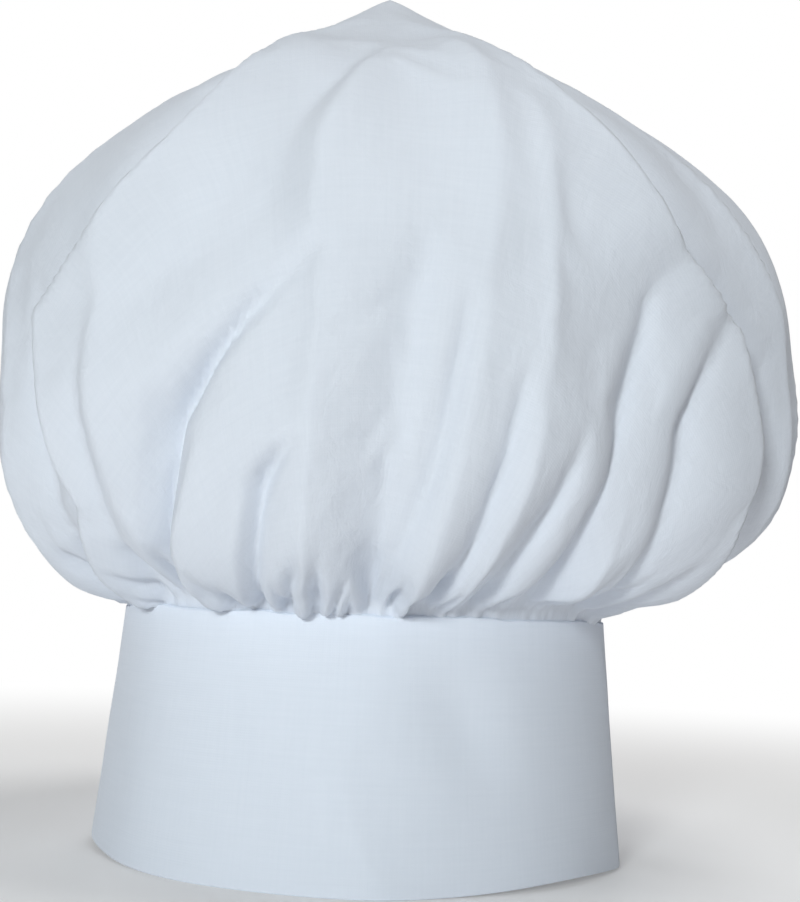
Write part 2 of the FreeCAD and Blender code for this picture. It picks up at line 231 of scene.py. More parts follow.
def tubes(paths: np.ndarray, wide: np.ndarray, tall: np.ndarray, sides: int = 6) -> tuple[np.ndarray, list[np.ndarray]]:
    """Closed rounded tubes along many short paths at once.

    Each ring is centre + wide cos a + tall sin a, scaled towards nothing at both ends.

    Args:
        paths: Centres, as paths x points x 3.
        wide: Half-width vectors, of the same shape.
        tall: Half-height vectors, of the same shape.
        sides: Points a ring.

    Returns:
        All the points, and the faces that join them.
    """
    count, length = paths.shape[:2]
    angle = np.linspace(0, 2 * np.pi, sides, endpoint=False)
    taper = np.sin(np.pi * (np.arange(length) + 0.6) / (length + 0.2)) ** 0.5
    ring = wide[:, :, None] * np.cos(angle)[:, None] + tall[:, :, None] * np.sin(angle)[:, None]
    ring = paths[:, :, None] + ring * taper[None, :, None, None]
    ends = np.stack([paths[:, 0], paths[:, -1]], 1)
    points = np.concatenate([ring.reshape(count, -1, 3), ends], 1)
    side, caps = block_faces(length, sides)
    offset = np.arange(count)[:, None, None] * (length * sides + 2)
    across = np.cross(wide[0, 0], tall[0, 0])
    along = paths[0, 1] - paths[0, 0]
    faces = [side + offset, caps + offset]
    if np.dot(across, along) > 0:
        faces = [f[..., ::-1] for f in faces]
    return points.reshape(-1, 3), [f.reshape(-1, f.shape[-1]) for f in faces]


def solidify(piece: bpy.types.Object, thickness: float) -> None:
    """Give an open sheet its thickness, inwards from its outer face.

    Args:
        piece: The sheet.
        thickness: In millimetres.
    """
    wall = piece.modifiers.new("thickness", "SOLIDIFY")
    wall.thickness = thickness * MM
    wall.offset = -1.0
    wall.use_even_offset = False


# ---------------------------------------------------------------- finishes


def linear(colour: str) -> tuple[float, float, float, float]:
    """An sRGB hex colour as linear numbers: the sRGB curve taken off each channel."""
    parts = [int(colour[i : i + 2], 16) / 255 for i in (0, 2, 4)]
    flat = [p / 12.92 if p <= 0.04045 else ((p + 0.055) / 1.055) ** 2.4 for p in parts]
    return (*flat, 1.0)


def add_node(tree: bpy.types.NodeTree, kind: str, settings: dict | None = None, links: dict | None = None) -> bpy.types.Node:
    """Add a node, set it, and link sockets to its inputs.

    Args:
        tree: The material's node tree.
        kind: The node's type name.
        settings: Values by property name, or by input name or number.
        links: Output sockets by input name or number.

    Returns:
        The node.
    """
    made = tree.nodes.new(kind)
    for key, value in (settings or {}).items():
        if isinstance(key, str) and hasattr(made, key):
            setattr(made, key, value)
        else:
            made.inputs[key].default_value = value
    for key, socket in (links or {}).items():
        tree.links.new(socket, made.inputs[key])
    return made


@dataclass(frozen=True)
class Weave:
    """A plain weave drawn on the cloth's own flat coordinates.

    Real shirting has a thread each 0.25 mm. It is drawn at pitch, about three times as coarse,
    because the real one is finer than the picture can show.
    """

    pitch: float = 0.8
    slub: float = 0.35
    depth: float = 0.03
    crumple: float = 9.0
    crumple_depth: float = 1.0

    def dress(self, tree: bpy.types.NodeTree) -> tuple[bpy.types.NodeSocket, bpy.types.NodeSocket]:
        """Add the weave's nodes.

        A warp wave times a weft wave gives the over-and-under; long noise drawn out along each
        thread gives the slubs; a broad noise gives the creases that handling leaves.

        Args:
            tree: The material's node tree.

        Returns:
            The slub pattern, from 0 to 1, and the bump's normal.
        """
        place = add_node(tree, "ShaderNodeUVMap", {"uv_map": "Cloth"}).outputs[0]
        scale = math.pi / (10 * self.pitch * MM)
        waves = [
            add_node(tree, "ShaderNodeTexWave", {"bands_direction": way, "Scale": scale}, {"Vector": place})
            for way in ("X", "Y")
        ]
        over = add_node(
            tree, "ShaderNodeMath", {"operation": "MULTIPLY"},
            {0: waves[0].outputs["Fac"], 1: waves[1].outputs["Fac"]},
        )
        drawn = []
        for stretch in ((1.0, 0.04, 1.0), (0.04, 1.0, 1.0)):
            along = add_node(tree, "ShaderNodeMapping", {"Scale": stretch}, {"Vector": place})
            drawn.append(
                add_node(
                    tree, "ShaderNodeTexNoise", {"Scale": 1 / (1.2 * MM), "Detail": 2.0},
                    {"Vector": along.outputs[0]},
                )
            )
        slubs = add_node(
            tree, "ShaderNodeMath", {"operation": "ADD"},
            {0: drawn[0].outputs["Fac"], 1: drawn[1].outputs["Fac"]},
        )
        half = add_node(tree, "ShaderNodeMath", {"operation": "MULTIPLY", 1: 0.5}, {0: slubs.outputs[0]})
        threads = add_node(
            tree, "ShaderNodeMath", {"operation": "MULTIPLY_ADD", 1: self.slub},
            {0: half.outputs[0], 2: over.outputs[0]},
        )
        fine = add_node(
            tree, "ShaderNodeBump", {"Strength": 0.5, "Distance": self.depth * MM}, {"Height": threads.outputs[0]}
        )
        creases = add_node(
            tree, "ShaderNodeTexNoise", {"Scale": 1 / (self.crumple * MM), "Detail": 3.0, "Roughness": 0.55, "Distortion": 0.6},
            {"Vector": place},
        )
        bump = add_node(
            tree, "ShaderNodeBump", {"Strength": 0.35, "Distance": self.crumple_depth * MM},
            {"Height": creases.outputs["Fac"], "Normal": fine.outputs[0]},
        )
        return half.outputs[0], bump.outputs[0]


@dataclass(frozen=True)
class Finish:
    """A woven or moulded finish: two tones of one colour, a roughness and a sheen."""

    name: str
    slot: str
    thick: str
    thin: str
    roughness: float = 0.85
    sheen: float = 0.0
    sheen_roughness: float = 0.5
    specular: float = 0.3
    weave: Weave | None = None
    grain: float = 0.4
    grain_depth: float = 0.05

    def material(self) -> bpy.types.Material:
        """The finish's material, made once.

        A weave takes its tone from the slubs. A finish with no weave takes it from a noise on
        Object coordinates with a grain of the given size.

        Returns:
            The material.
        """
        made = bpy.data.materials.get(self.name)
        if made is not None:
            return made
        made = bpy.data.materials.new(self.name)
        made.use_nodes = True
        tree = made.node_tree
        shader = tree.nodes["Principled BSDF"]
        shader.inputs["Roughness"].default_value = self.roughness
        shader.inputs["Sheen Weight"].default_value = self.sheen
        shader.inputs["Sheen Roughness"].default_value = self.sheen_roughness
        shader.inputs["Specular IOR Level"].default_value = self.specular
        if self.weave:
            tone, normal = self.weave.dress(tree)
        else:
            place = add_node(tree, "ShaderNodeTexCoord").outputs["Object"]
            noise = add_node(
                tree, "ShaderNodeTexNoise", {"Scale": 1 / (self.grain * MM), "Detail": 2.0}, {"Vector": place}
            )
            bump = add_node(
                tree, "ShaderNodeBump", {"Strength": 0.4, "Distance": self.grain_depth * MM},
                {"Height": noise.outputs["Fac"]},
            )
            tone, normal = noise.outputs["Fac"], bump.outputs[0]
        mix = add_node(
            tree, "ShaderNodeMix", {"data_type": "RGBA", 6: linear(self.thin), 7: linear(self.thick)}, {0: tone}
        )
        tree.links.new(mix.outputs[2], shader.inputs["Base Color"])
        tree.links.new(normal, shader.inputs["Normal"])
        return made

    def dress(self, piece: bpy.types.Object) -> bpy.types.Object:
        """Give a piece this finish in place of any it has."""
        piece.data.materials.clear()
        piece.data.materials.append(self.material())
        return piece


# Bleached cotton-rich poplin, woven and ironed: matt, with optical brightener that turns it faintly
# blue, threads too fine to see apart, and a faint bloom where it turns away from the eye.
POPLIN = Finish("poplin_woven_bleached", "poplin", "DFE4ED", "D5DBE5", 0.88, 0.12, 0.45, 0.2, Weave())
BAND_POPLIN = Finish(
    "poplin_woven_bleached_pressed", "poplin", "E3E9F3", "DAE1EC", 0.84, 0.12, 0.45, 0.22, Weave(crumple=16.0, crumple_depth=0.25)
)
# Resin-bonded non-woven interlining: flat white with short clumped fibres.
INTERLINING = Finish("interlining_bonded_fleece", "stiffener", "DDDEDF", "CFD1D3", 0.95, 0.0, grain=1.2, grain_depth=0.12)
# The same poplin cut on the bias: the weave runs at 45 degrees, so it looks closer and softer.
BIAS = Finish("bias_binding_poplin_folded", "binding", "E2E8F1", "D7DEEA", 0.88, 0.12, 0.45, 0.2, Weave(pitch=0.7, crumple=5.0))
# Spun polyester thread: twisted, so a stitch glints a little more than the cloth.
THREAD = Finish("thread_spun_polyester", "thread", "EDF1F6", "D9DFE8", 0.55, 0.0, specular=0.45, grain=0.25, grain_depth=0.04)
# Nylon hook tape, woven and heat set: hard clear-white hooks with small highlights.
HOOKS = Finish("hook_tape_nylon_woven", "hook_tape", "DCDFE2", "CBCFD4", 0.42, 0.0, specular=0.5, grain=0.5, grain_depth=0.03)
# Brushed nylon loop pile: dull and furry.
LOOPS = Finish("loop_tape_nylon_brushed", "loop_tape", "E2E4E8", "D3D6DB", 0.95, 0.35, 0.6, 0.15, grain=0.6, grain_depth=0.1)
# Satin-woven polyester label: smooth, with a low silky gloss.
SATIN = Finish("label_polyester_satin_woven", "label", "EFEFEC", "E5E5E2", 0.5, 0.15, 0.4, 0.45, Weave(pitch=0.5, crumple=14.0))


# ---------------------------------------------------------------- the band's own shape


@dataclass(frozen=True)
class BandShape:
    """The leaning wall that everything on the band is laid on.

    The radius falls evenly from the foot to the seam. On it lie the pressed edge on the right
    that flat storage leaves, and the soft dents of cloth over limp interlining.
    """

    crease_bearing: float = 71.0
    crease_height: float = 2.6
    foot_lift: float = 3.0

    def dent(self, bearing: np.ndarray, height: np.ndarray) -> np.ndarray:
        """How far the wall stands out of round, in millimetres.

        The pressed edge is a ridge whose height falls as e^-|x| to either side, stronger towards
        the foot. Each dent is a Gaussian across a line that leans from foot to seam. All of it
        dies away behind, where the tab closes, and at the seam.

        Args:
            bearing: Degrees round from the front.
            height: Height over the foot.

        Returns:
            The distances, outwards positive.
        """
        b, up = turned(bearing), height / BAND_HEIGHT
        x = b - self.crease_bearing
        out = self.crease_height * (0.45 + 0.55 * (1 - up)) * np.exp(-np.abs(x) / np.where(x < 0, 17.0, 9.0))
        out = out - 1.7 * (1 - 0.5 * up) * np.exp(-(((x - 22) / 13) ** 2))
        out = out + 0.9 * np.exp(-np.abs(turned(b + 84)) / 12) * (0.5 + 0.5 * (1 - up))
        # a dull fold that runs down the middle of the front, leaning to the right
        x = b - np.interp(up, (0.0, 0.2, 0.43, 0.73, 1.0), (7.0, 2.5, -1.5, 4.5, 8.0))
        out = out + 2.6 * np.exp(-np.abs(x / np.where(x < 0, 22.0, 11.0)) ** 1.05) * (1.0 - 0.72 * up)
        # the hollow beside it, and the swell over it
        out = out - 2.2 * np.exp(-(((b - 24 + 14 * (up - 0.5)) / 8.0) ** 2)) * np.exp(-(((up - 0.6) / 0.24) ** 2))
        out = out - 0.9 * np.exp(-(((b + 17) / 13) ** 2)) * np.exp(-(((up - 0.3) / 0.4) ** 2))
        out = out + 0.7 * np.exp(-(((b + 44) / 13) ** 2)) * np.exp(-(((up - 0.55) / 0.4) ** 2))
        out = out - 0.6 * np.exp(-(((b + 62) / 8) ** 2))
        # slow unevenness all round
        rounds = (b % FULL_TURN) / FULL_TURN
        out = out + 0.55 * value_noise(rounds * 12, up * 1.7, 5, 12) + 0.2 * value_noise(rounds * 30, up * 4, 6, 30)
        behind = ease((np.abs(turned(b - 180.0)) - 38) / 22)
        return out * behind * (0.25 + 0.75 * ease((1.02 - up) / 0.3))

    def point(self, bearing: np.ndarray, height: np.ndarray, offset: np.ndarray) -> np.ndarray:
        """Points on the wall, moved out by an offset.

        Args:
            bearing: Degrees round from the front.
            height: Height over the foot.
            offset: Distance out from the cloth's outer face.

        Returns:
            The points.
        """
        radius = BAND_FOOT_RADIUS - BAND_FLARE * height / BAND_HEIGHT + offset
        foot = (1 - np.clip(height / BAND_HEIGHT, 0, 1)) ** 2
        lift = self.foot_lift * np.exp(-((turned(bearing + 86) / 26) ** 2)) * foot
        lift = lift + 2.2 * np.exp(-((turned(bearing - 50) / 22) ** 2)) * foot
        return polar(bearing, radius + self.dent(bearing, height), height + lift)


def bearing_of(angle: float) -> float:
    """The bearing of an angle measured round from +X."""
    return angle + 90.0


CLOSURE = bearing_of(80.0)
BAND_START = bearing_of(81.8)
VENT = bearing_of(80.9)


def swept(shape: BandShape, bearings: np.ndarray, section: np.ndarray) -> np.ndarray:
    """A section of (offset, height) points carried round the band: rows of section, one a bearing."""
    b = bearings[:, None]
    return shape.point(b, section[None, :, 1], section[None, :, 0])


@dataclass
class Band:
    """The band: one strip folded along its foot, with interlining between its plies."""

    shape: BandShape
    steps: int = 420
    hem: float = 8.0

    def section(self) -> np.ndarray:
        """The folded strip's outer line, from the hem inside the outer ply to that inside the inner.

        It runs up the hem, over a small half round at the seam, down the outer face, round the
        foot in a half ellipse as wide as the band is thick, and up and over the same way inside.

        Returns:
            Points of (offset, height).
        """
        turn = 0.42
        over = np.linspace(np.pi, 0, 7)
        top = BAND_HEIGHT - turn
        outer_top = np.stack([-turn + turn * np.cos(over), top + turn * np.sin(over)], -1)
        hem = np.stack([np.full(4, -2 * turn), np.linspace(BAND_HEIGHT - self.hem, top, 4, endpoint=False)], -1)
        under = np.linspace(0, -np.pi, 11)
        half = BAND_THICKNESS / 2
        foot = np.stack([-half + half * np.cos(under), 0.9 + 0.9 * np.sin(under)], -1)
        down = np.linspace(top, 0.9, 46)[1:-1]
        outer = np.stack([np.zeros(len(down)), down], -1)
        inner = np.stack([np.full(len(down), -BAND_THICKNESS), down[::-1]], -1)
        inner_top = np.stack([-BAND_THICKNESS + turn - turn * np.cos(over[::-1] - np.pi), top + turn * np.sin(over[::-1])], -1)
        inner_top = np.stack([-BAND_THICKNESS + turn * 0.9 * (1 - np.cos(np.pi - over[::-1])) * 0.5, inner_top[:, 1]], -1)
        return np.concatenate([hem, outer_top, outer, foot, inner, inner_top])

    def cloth(self) -> bpy.types.Object:
        """The band's cloth."""
        section = self.section()
        bearings = np.linspace(BAND_START, CLOSURE + FULL_TURN, self.steps)
        points = swept(self.shape, bearings, section)
        # the seam's pull puckers the upper edge a little
        pull = ease((section[:, 1] - 77) / 9)[None, :]
        rounds = (bearings / FULL_TURN)[:, None]
        points[..., 2] += pull * (0.55 * value_noise(rounds * 52, 0 * rounds, 8, 52) + 0.25 * value_noise(rounds * 120, 0 * rounds, 9, 120))
        run = np.concatenate([[0], np.cumsum(np.hypot(*np.diff(section, axis=0).T))])
        u = np.broadcast_to(np.radians(bearings - BAND_START)[:, None] * BAND_FOOT_RADIUS, points.shape[:2])
        uv = np.stack([u, np.broadcast_to(run[None, :], u.shape)], -1) * MM
        faces = grid_faces(*points.shape[:2])
        piece = build("band_cloth_folded", points, [faces], uv)
        face_out(piece, points.reshape(-1, 3), faces)
        solidify(piece, CLOTH)
        BAND_POPLIN.dress(piece)
        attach(piece, Body.HAT.value)
        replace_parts(piece, "band_cloth")
        return piece

    def interlining(self) -> bpy.types.Object:
        """The strip of interlining between the plies, stopped under the crown's turned-in rim."""
        inside = CLOTH + 0.05
        low, high = inside + 0.1, BAND_HEIGHT - self.hem - 0.5
        return wall_block(
            "band_interlining", self.shape, (BAND_START + 0.2, CLOSURE + FULL_TURN - 0.2), (low, high),
            lambda b: (-BAND_THICKNESS + inside + 0 * b, -inside + 0 * b), INTERLINING, Body.HAT, "band_stiffener",
        )


def face_out(piece: bpy.types.Object, points: np.ndarray, faces: np.ndarray) -> None:
    """Turn a sheet's faces over if most of those on its widest part look at the axis.

    Args:
        piece: The object.
        points: Its points.
        faces: Its faces.
    """
    a, b, c = (points[faces[:, i]] for i in range(3))
    normal = np.cross(b - a, c - a)
    middle = (a + b + c) / 3
    widest = np.hypot(middle[:, 0], middle[:, 1])
    outer = widest > np.quantile(widest, 0.6)
    if (normal[outer, 0] * middle[outer, 0] + normal[outer, 1] * middle[outer, 1]).sum() < 0:
        piece.data.flip_normals()


def wall_block(
    name: str, shape: BandShape, span: tuple[float, float], rise: tuple[float, float], offsets, finish: Finish,
    body: Body | None, node: str, steps: int = 0, corner: float = 0.25,
) -> bpy.types.Object:
    """A closed strip laid on the leaning wall, with softly rounded edges.

    The section is a rounded rectangle between two offsets and two heights, carried along the
    span; its two end sections are closed.

    Args:
        name: The piece's name.
        shape: The wall.
        span: First and last bearing.
        rise: Lowest and highest height.
        offsets: Gives the inner and outer offset at each bearing.
        finish: The piece's finish.
        body: The body that it rides on, or None for a piece that is left on no body.
        node: The node that it replaces.
        steps: Sections along the span, or 0 for one each millimetre and a half.
        corner: The edges' rounding.

    Returns:
        The piece.
    """
    steps = steps or max(6, int(abs(span[1] - span[0]) * 1.1))
    bearings = np.linspace(*span, steps)
    inner, outer = offsets(bearings)
    rows = max(8, int((rise[1] - rise[0]) / 2.5))
    quarter = np.linspace(0, np.pi / 2, 4)
    up = np.linspace(rise[0] + corner, rise[1] - corner, rows)
    one = np.concatenate([np.ones(rows), 1 - corner + corner * np.cos(quarter)[1:]])
    side = np.concatenate([up, rise[1] - corner + corner * np.sin(quarter)[1:]])
    low = rise[0] + corner - corner * np.sin(quarter[::-1])[:-1]
    lower = 1 - corner + corner * np.cos(quarter[::-1])[:-1]
    half = np.stack([np.concatenate([lower, one]), np.concatenate([low, side])], -1)
    loop = np.concatenate([half, np.stack([-half[::-1, 0], half[::-1, 1]], -1)])
    middle, reach = (inner + outer) / 2, (outer - inner) / 2
    offset = middle[:, None] + reach[:, None] * loop[None, :, 0]
    points = shape.point(bearings[:, None], loop[None, :, 1] + 0 * offset, offset)
    count = len(loop)
    side_faces, caps = block_faces(steps, count)
    ends = np.stack([points[0].mean(0), points[-1].mean(0)])
    flat = np.concatenate([points.reshape(-1, 3), ends])
    run = np.radians(bearings - bearings[0])[:, None] * BAND_FOOT_RADIUS
    uv = np.stack([run + 0 * offset, loop[None, :, 1] + 0 * offset], -1).reshape(-1, 2)
    uv = np.concatenate([uv, uv[:1], uv[-1:]]) * MM
    piece = build(name, flat, [side_faces, caps], uv)
    set_outward(piece)
    finish.dress(piece)
    if body:
        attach(piece, body.value)
    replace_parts(piece, node)
    return piece


def set_outward(piece: bpy.types.Object) -> None:
    """Turn a closed piece's faces over if the volume they enclose comes out negative."""
    mesh = piece.data
    mesh.calc_loop_triangles()
    corners = np.empty(len(mesh.loop_triangles) * 3, int)
    mesh.loop_triangles.foreach_get("vertices", corners)
    points = np.empty(len(mesh.vertices) * 3)
    mesh.vertices.foreach_get("co", points)
    a, b, c = points.reshape(-1, 3)[corners.reshape(-1, 3)].transpose(1, 0, 2)
    if np.einsum("ij,ij->i", a, np.cross(b, c)).sum() < 0:
        mesh.flip_normals()


# ---------------------------------------------------------------- the closure


@dataclass
class Closure:
    """The tab at the back, its interlining, and the two halves of its touch tape."""

    shape: BandShape
    tab_end: float = bearing_of(114.0)
    tab_low: float = 0.8
    tab_high: float = 84.4
    lift: float = 1.95
    hook_span: tuple[float, float] = (bearing_of(96.5), bearing_of(111.2))
    loop_span: tuple[float, float] = (bearing_of(85.0), bearing_of(111.5))
    tape_low: float = 11.0
    tape_high: float = 74.0
    step_start: float = bearing_of(76.6)
    step_end: float = bearing_of(83.6)

    def outer(self, bearing: np.ndarray) -> np.ndarray:
        """The tab's outer offset: flush with the band at its root, then eased out over the underlap."""
        rise = ease((bearing - self.step_start) / (self.step_end - self.step_start))
        close = ease((bearing - self.tab_end + 2.2) / 2.2)
        return 0.02 + (self.lift + BAND_THICKNESS - 0.02) * rise - 0.35 * close

    def inner(self, bearing: np.ndarray) -> np.ndarray:
        """The tab's inner offset: a band's thickness in, and no deeper than the band's outer ply."""
        close = ease((bearing - self.tab_end + 2.2) / 2.2)
        return np.maximum(self.outer(bearing) + 0.35 * close - BAND_THICKNESS, -0.3) + 0.25 * close

    def tab(self) -> bpy.types.Object:
        """The tab, laid on the wall from its root over the underlap; it rides on no body."""
        piece = wall_block(
            "closure_tab_folded", self.shape, (self.step_start, self.tab_end), (self.tab_low, self.tab_high),
            lambda b: (self.inner(b), self.outer(b)), BAND_POPLIN, None, "closure_tab", steps=74, corner=0.4,
        )
        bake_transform(piece)
        return piece

    def interlining(self) -> bpy.types.Object:
        """The interlining inside the tab."""
        inside = CLOTH + 0.05
        return wall_block(
            "tab_interlining", self.shape, (bearing_of(82.4), self.tab_end - 2.4),
            (self.tab_low + inside + 0.2, self.tab_high - inside - 0.2),
            lambda b: (self.inner(b) + inside, self.outer(b) - inside), INTERLINING, Body.TAB, "tab_stiffener",
        )

    def hooks(self) -> bpy.types.Object:
        """The hook tape: a thin woven ground and rows of small bent hooks.

        Each hook is a quarter round that leaves the ground and bends along the tape, so that its
        tip hangs clear; the rows bend alternately up and down.

        Returns:
            The hook tape.
        """
        face = self.lift - 0.05
        ground = wall_block(
            "hook_tape_ground", self.shape, self.hook_span, (self.tape_low, self.tape_high),
            lambda b: (face - 0.38 + 0 * b, face + 0 * b), HOOKS, Body.TAB, "hook_tape", corner=0.12,
        )
        b, z = np.meshgrid(
            np.arange(self.hook_span[0] + 1.7, self.hook_span[1] - 1.6, 0.86),
            np.arange(self.tape_low + 3.2, self.tape_high - 3.0, 1.55), indexing="ij",
        )
        way = np.where(np.arange(b.shape[0])[:, None] % 2 == 0, 1.0, -1.0) + 0 * b
        b, z, way = b.ravel(), z.ravel(), way.ravel()
        bend = np.linspace(0, 1.35, 5)[None, :]
        depth = face - 0.34 - 0.42 * np.sin(bend * 1.1) + 0 * b[:, None]
        rise = z[:, None] + way[:, None] * 0.6 * (1 - np.cos(bend * 1.1))
        path = self.shape.point(b[:, None] + 0 * bend, rise, depth)
        side = self.shape.point(b[:, None] + 0.1 + 0 * bend, rise, depth) - path
        up = np.zeros_like(path)
        up[..., 2] = 0.11
        return self.join_field("hook_tape_hooks", path, side * 0.75, up, HOOKS, Body.TAB, ground)

    def loops(self) -> bpy.types.Object:
        """The loop tape: a thin ground and a pile of small loops brushed every way.

        Each loop is a half round that stands on the ground and is turned at random.

        Returns:
            The loop tape.
        """
        ground = wall_block(
            "loop_tape_ground", self.shape, self.loop_span, (self.tape_low, self.tape_high),
            lambda b: (0.04 + 0 * b, 0.46 + 0 * b), LOOPS, Body.HAT, "loop_tape", corner=0.12,
        )
        rng = np.random.default_rng(21)
        b, z = np.meshgrid(
            np.arange(self.loop_span[0] + 1.6, self.loop_span[1] - 1.5, 0.82),
            np.arange(self.tape_low + 3.0, self.tape_high - 2.8, 1.4), indexing="ij",
        )
        b = b.ravel() + rng.uniform(-0.25, 0.25, b.size)
        z = z.ravel() + rng.uniform(-0.4, 0.4, z.size)
        turn = rng.uniform(0, np.pi, b.size)[:, None]
        arc = np.linspace(0, np.pi, 6)[None, :]
        high = 0.45 + rng.uniform(0.28, 0.5, b.size)[:, None] * np.sin(arc)
        reach = rng.uniform(0.45, 0.8, b.size)[:, None] * np.cos(arc)
        path = self.shape.point(b[:, None] + np.degrees(reach * np.cos(turn) / 94), z[:, None] + reach * np.sin(turn), high)
        aside = np.stack([0 * turn, 0 * turn, np.cos(turn)], -1) + (
            self.shape.point(b[:, None] + 0.6, z[:, None], 0.0) - self.shape.point(b[:, None], z[:, None], 0.0)
        ) * -np.sin(turn)[..., None]
        out = polar(b[:, None], np.ones_like(turn), 0 * turn)
        aside = np.broadcast_to(aside * 0.07, path.shape)
        return self.join_field("loop_tape_pile", path, aside, np.broadcast_to(out * 0.07, path.shape), LOOPS, Body.HAT, ground)

    def join_field(
        self, name: str, path: np.ndarray, wide: np.ndarray, tall: np.ndarray, finish: Finish, body: Body,
        ground: bpy.types.Object,
    ) -> bpy.types.Object:
        """A field of little tubes on its ground.

        Args:
            name: The field's name.
            path: The tubes' centres.
            wide: Their half-widths.
            tall: Their half-heights.
            finish: Their finish.
            body: The body that they ride on.
            ground: The tape that they stand on.

        Returns:
            The ground. The field itself is parented to the body's empty.
        """
        points, faces = tubes(path, wide, tall, sides=4)
        piece = build(name, points, faces)
        finish.dress(piece)
        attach(piece, body.value)
        return ground


# ---------------------------------------------------------------- stitching


@dataclass
class Sewing:
    """The rows of machine stitching that show, each stitch a rounded length of thread."""

    shape: BandShape
    closure: Closure
    length: float = 2.3
    pitch: float = 3.2
    width: float = 0.24
    height: float = 0.17

    def along(self, height: float, start: float, stop: float, offset) -> np.ndarray:
        """Stitch paths on a level row.

        Args:
            height: The row's height.
            start: First bearing.
            stop: Last bearing.
            offset: Gives the cloth's offset at a bearing.

        Returns:
            Paths of seven points: (bearing, height, offset), bowed out in the middle of a stitch.
        """
        count = max(1, int(math.radians(stop - start) * 95 / self.pitch))
        step = (stop - start) / count
        middle = start + step * (np.arange(count) + 0.5)
        run = np.linspace(-0.5, 0.5, 7)
        bearing = middle[:, None] + np.degrees(run * self.length / 95)[None, :]
        return np.stack([bearing, height + 0 * bearing, offset(bearing) + self.bow(run)], -1)

    def up(self, bearing: float, low: float, high: float, offset) -> np.ndarray:
        """Stitch paths on an upright row, as along() gives them."""
        count = max(1, int((high - low) / self.pitch))
        middle = low + (high - low) / count * (np.arange(count) + 0.5)
        run = np.linspace(-0.5, 0.5, 7)
        height = middle[:, None] + run[None, :] * self.length
        across = bearing + 0 * height
        return np.stack([across, height, offset(across) + self.bow(run)], -1)

    def bow(self, run: np.ndarray) -> np.ndarray:
        """A stitch's rise over the cloth: a parabola that dips under it at both ends."""
        return 0.13 - 0.62 * (2 * np.abs(run)) ** 3.0

    def sew(self, name: str, node: str, body: Body, rows: list[np.ndarray]) -> bpy.types.Object:
        """Build stitches from their paths.

        Args:
            name: The piece's name.
            node: The node that it replaces.
            body: The body that it rides on.
            rows: Paths from along() and up().

        Returns:
            The piece.
        """
        all_points, all_faces, first = [], [], 0
        for paths in rows:
            centre = self.shape.point(paths[..., 0], paths[..., 1], paths[..., 2])
            out = polar(paths[..., 0], np.ones(paths.shape[:2]), np.zeros(paths.shape[:2]))
            along = np.gradient(centre, axis=1)
            across = np.cross(out, along)
            across /= np.linalg.norm(across, axis=-1, keepdims=True)
            points, faces = tubes(centre, across * self.width, out * self.height)
            all_points.append(points)
            all_faces += [f + first for f in faces]
            first += len(points)
        piece = build(name, np.concatenate(all_points), all_faces)
        THREAD.dress(piece)
        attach(piece, body.value)
        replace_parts(piece, node)
        return piece

    def frame_rows(self, span: tuple[float, float], low: float, high: float, offset) -> list[np.ndarray]:
        """Rows round a rectangle on the wall."""
        return [
            self.along(low, span[0] + 0.6, span[1] - 0.6, offset),
            self.along(high, span[0] + 0.6, span[1] - 0.6, offset),
            self.up(span[0], low + 1, high - 1, offset),
            self.up(span[1], low + 1, high - 1, offset),
        ]

    def make(self) -> list[bpy.types.Object]:
        """All the rows.

        Returns:
            The pieces of stitching.
        """
        c = self.closure
        low, high = c.tape_low + 2, c.tape_high - 2
        hook = (c.hook_span[0] + 1.2, c.hook_span[1] - 1.2)
        loop = (c.loop_span[0] + 1.2, c.loop_span[1] - 1.2)
        made = [
            self.sew("hook_tape_stitches", "hook_tape_stitching", Body.TAB, self.frame_rows(hook, low, high, c.outer)),
            self.sew(
                "loop_tape_stitches", "loop_tape_stitching", Body.HAT,
                self.frame_rows(loop, low, high, lambda b: 0.5 + 0 * b),
            ),
            self.sew(
                "tab_edge_stitches", "tab_edge_stitching", Body.TAB,
                [
                    self.along(c.tab_low + 2.5, CLOSURE + 3.2, c.tab_end - 2.0, c.outer),
                    self.along(c.tab_high - 2.5, CLOSURE + 3.2, c.tab_end - 2.0, c.outer),
                    self.up(c.tab_end - 1.6, c.tab_low + 3.5, c.tab_high - 3.5, c.outer),
                ],
            ),
            self.sew(
                "underlap_stitches", "underlap_stitching", Body.HAT,
                [self.up(BAND_START + 1.6, 3.0, 83.0, lambda b: 0.0 * b)],
            ),
        ]
        inner = lambda b: -BAND_THICKNESS - 0.12 + 0.0 * b
        end = CLOSURE + FULL_TURN - 1
        made.append(self.sew("crown_seam_stitches", "crown_seam_stitching", Body.HAT, [self.along(82.5, BAND_START + 1, end, inner)]))
        hidden = lambda b: -0.96 + 0.0 * b
        rows = [self.along(78.0 + rise, BAND_START + 1, end, hidden) for rise in (2.0, 5.0)]
        made.append(self.sew("gathering_stitches", "gathering_thread", Body.HAT, rows))
        return made


# ---------------------------------------------------------------- the crown


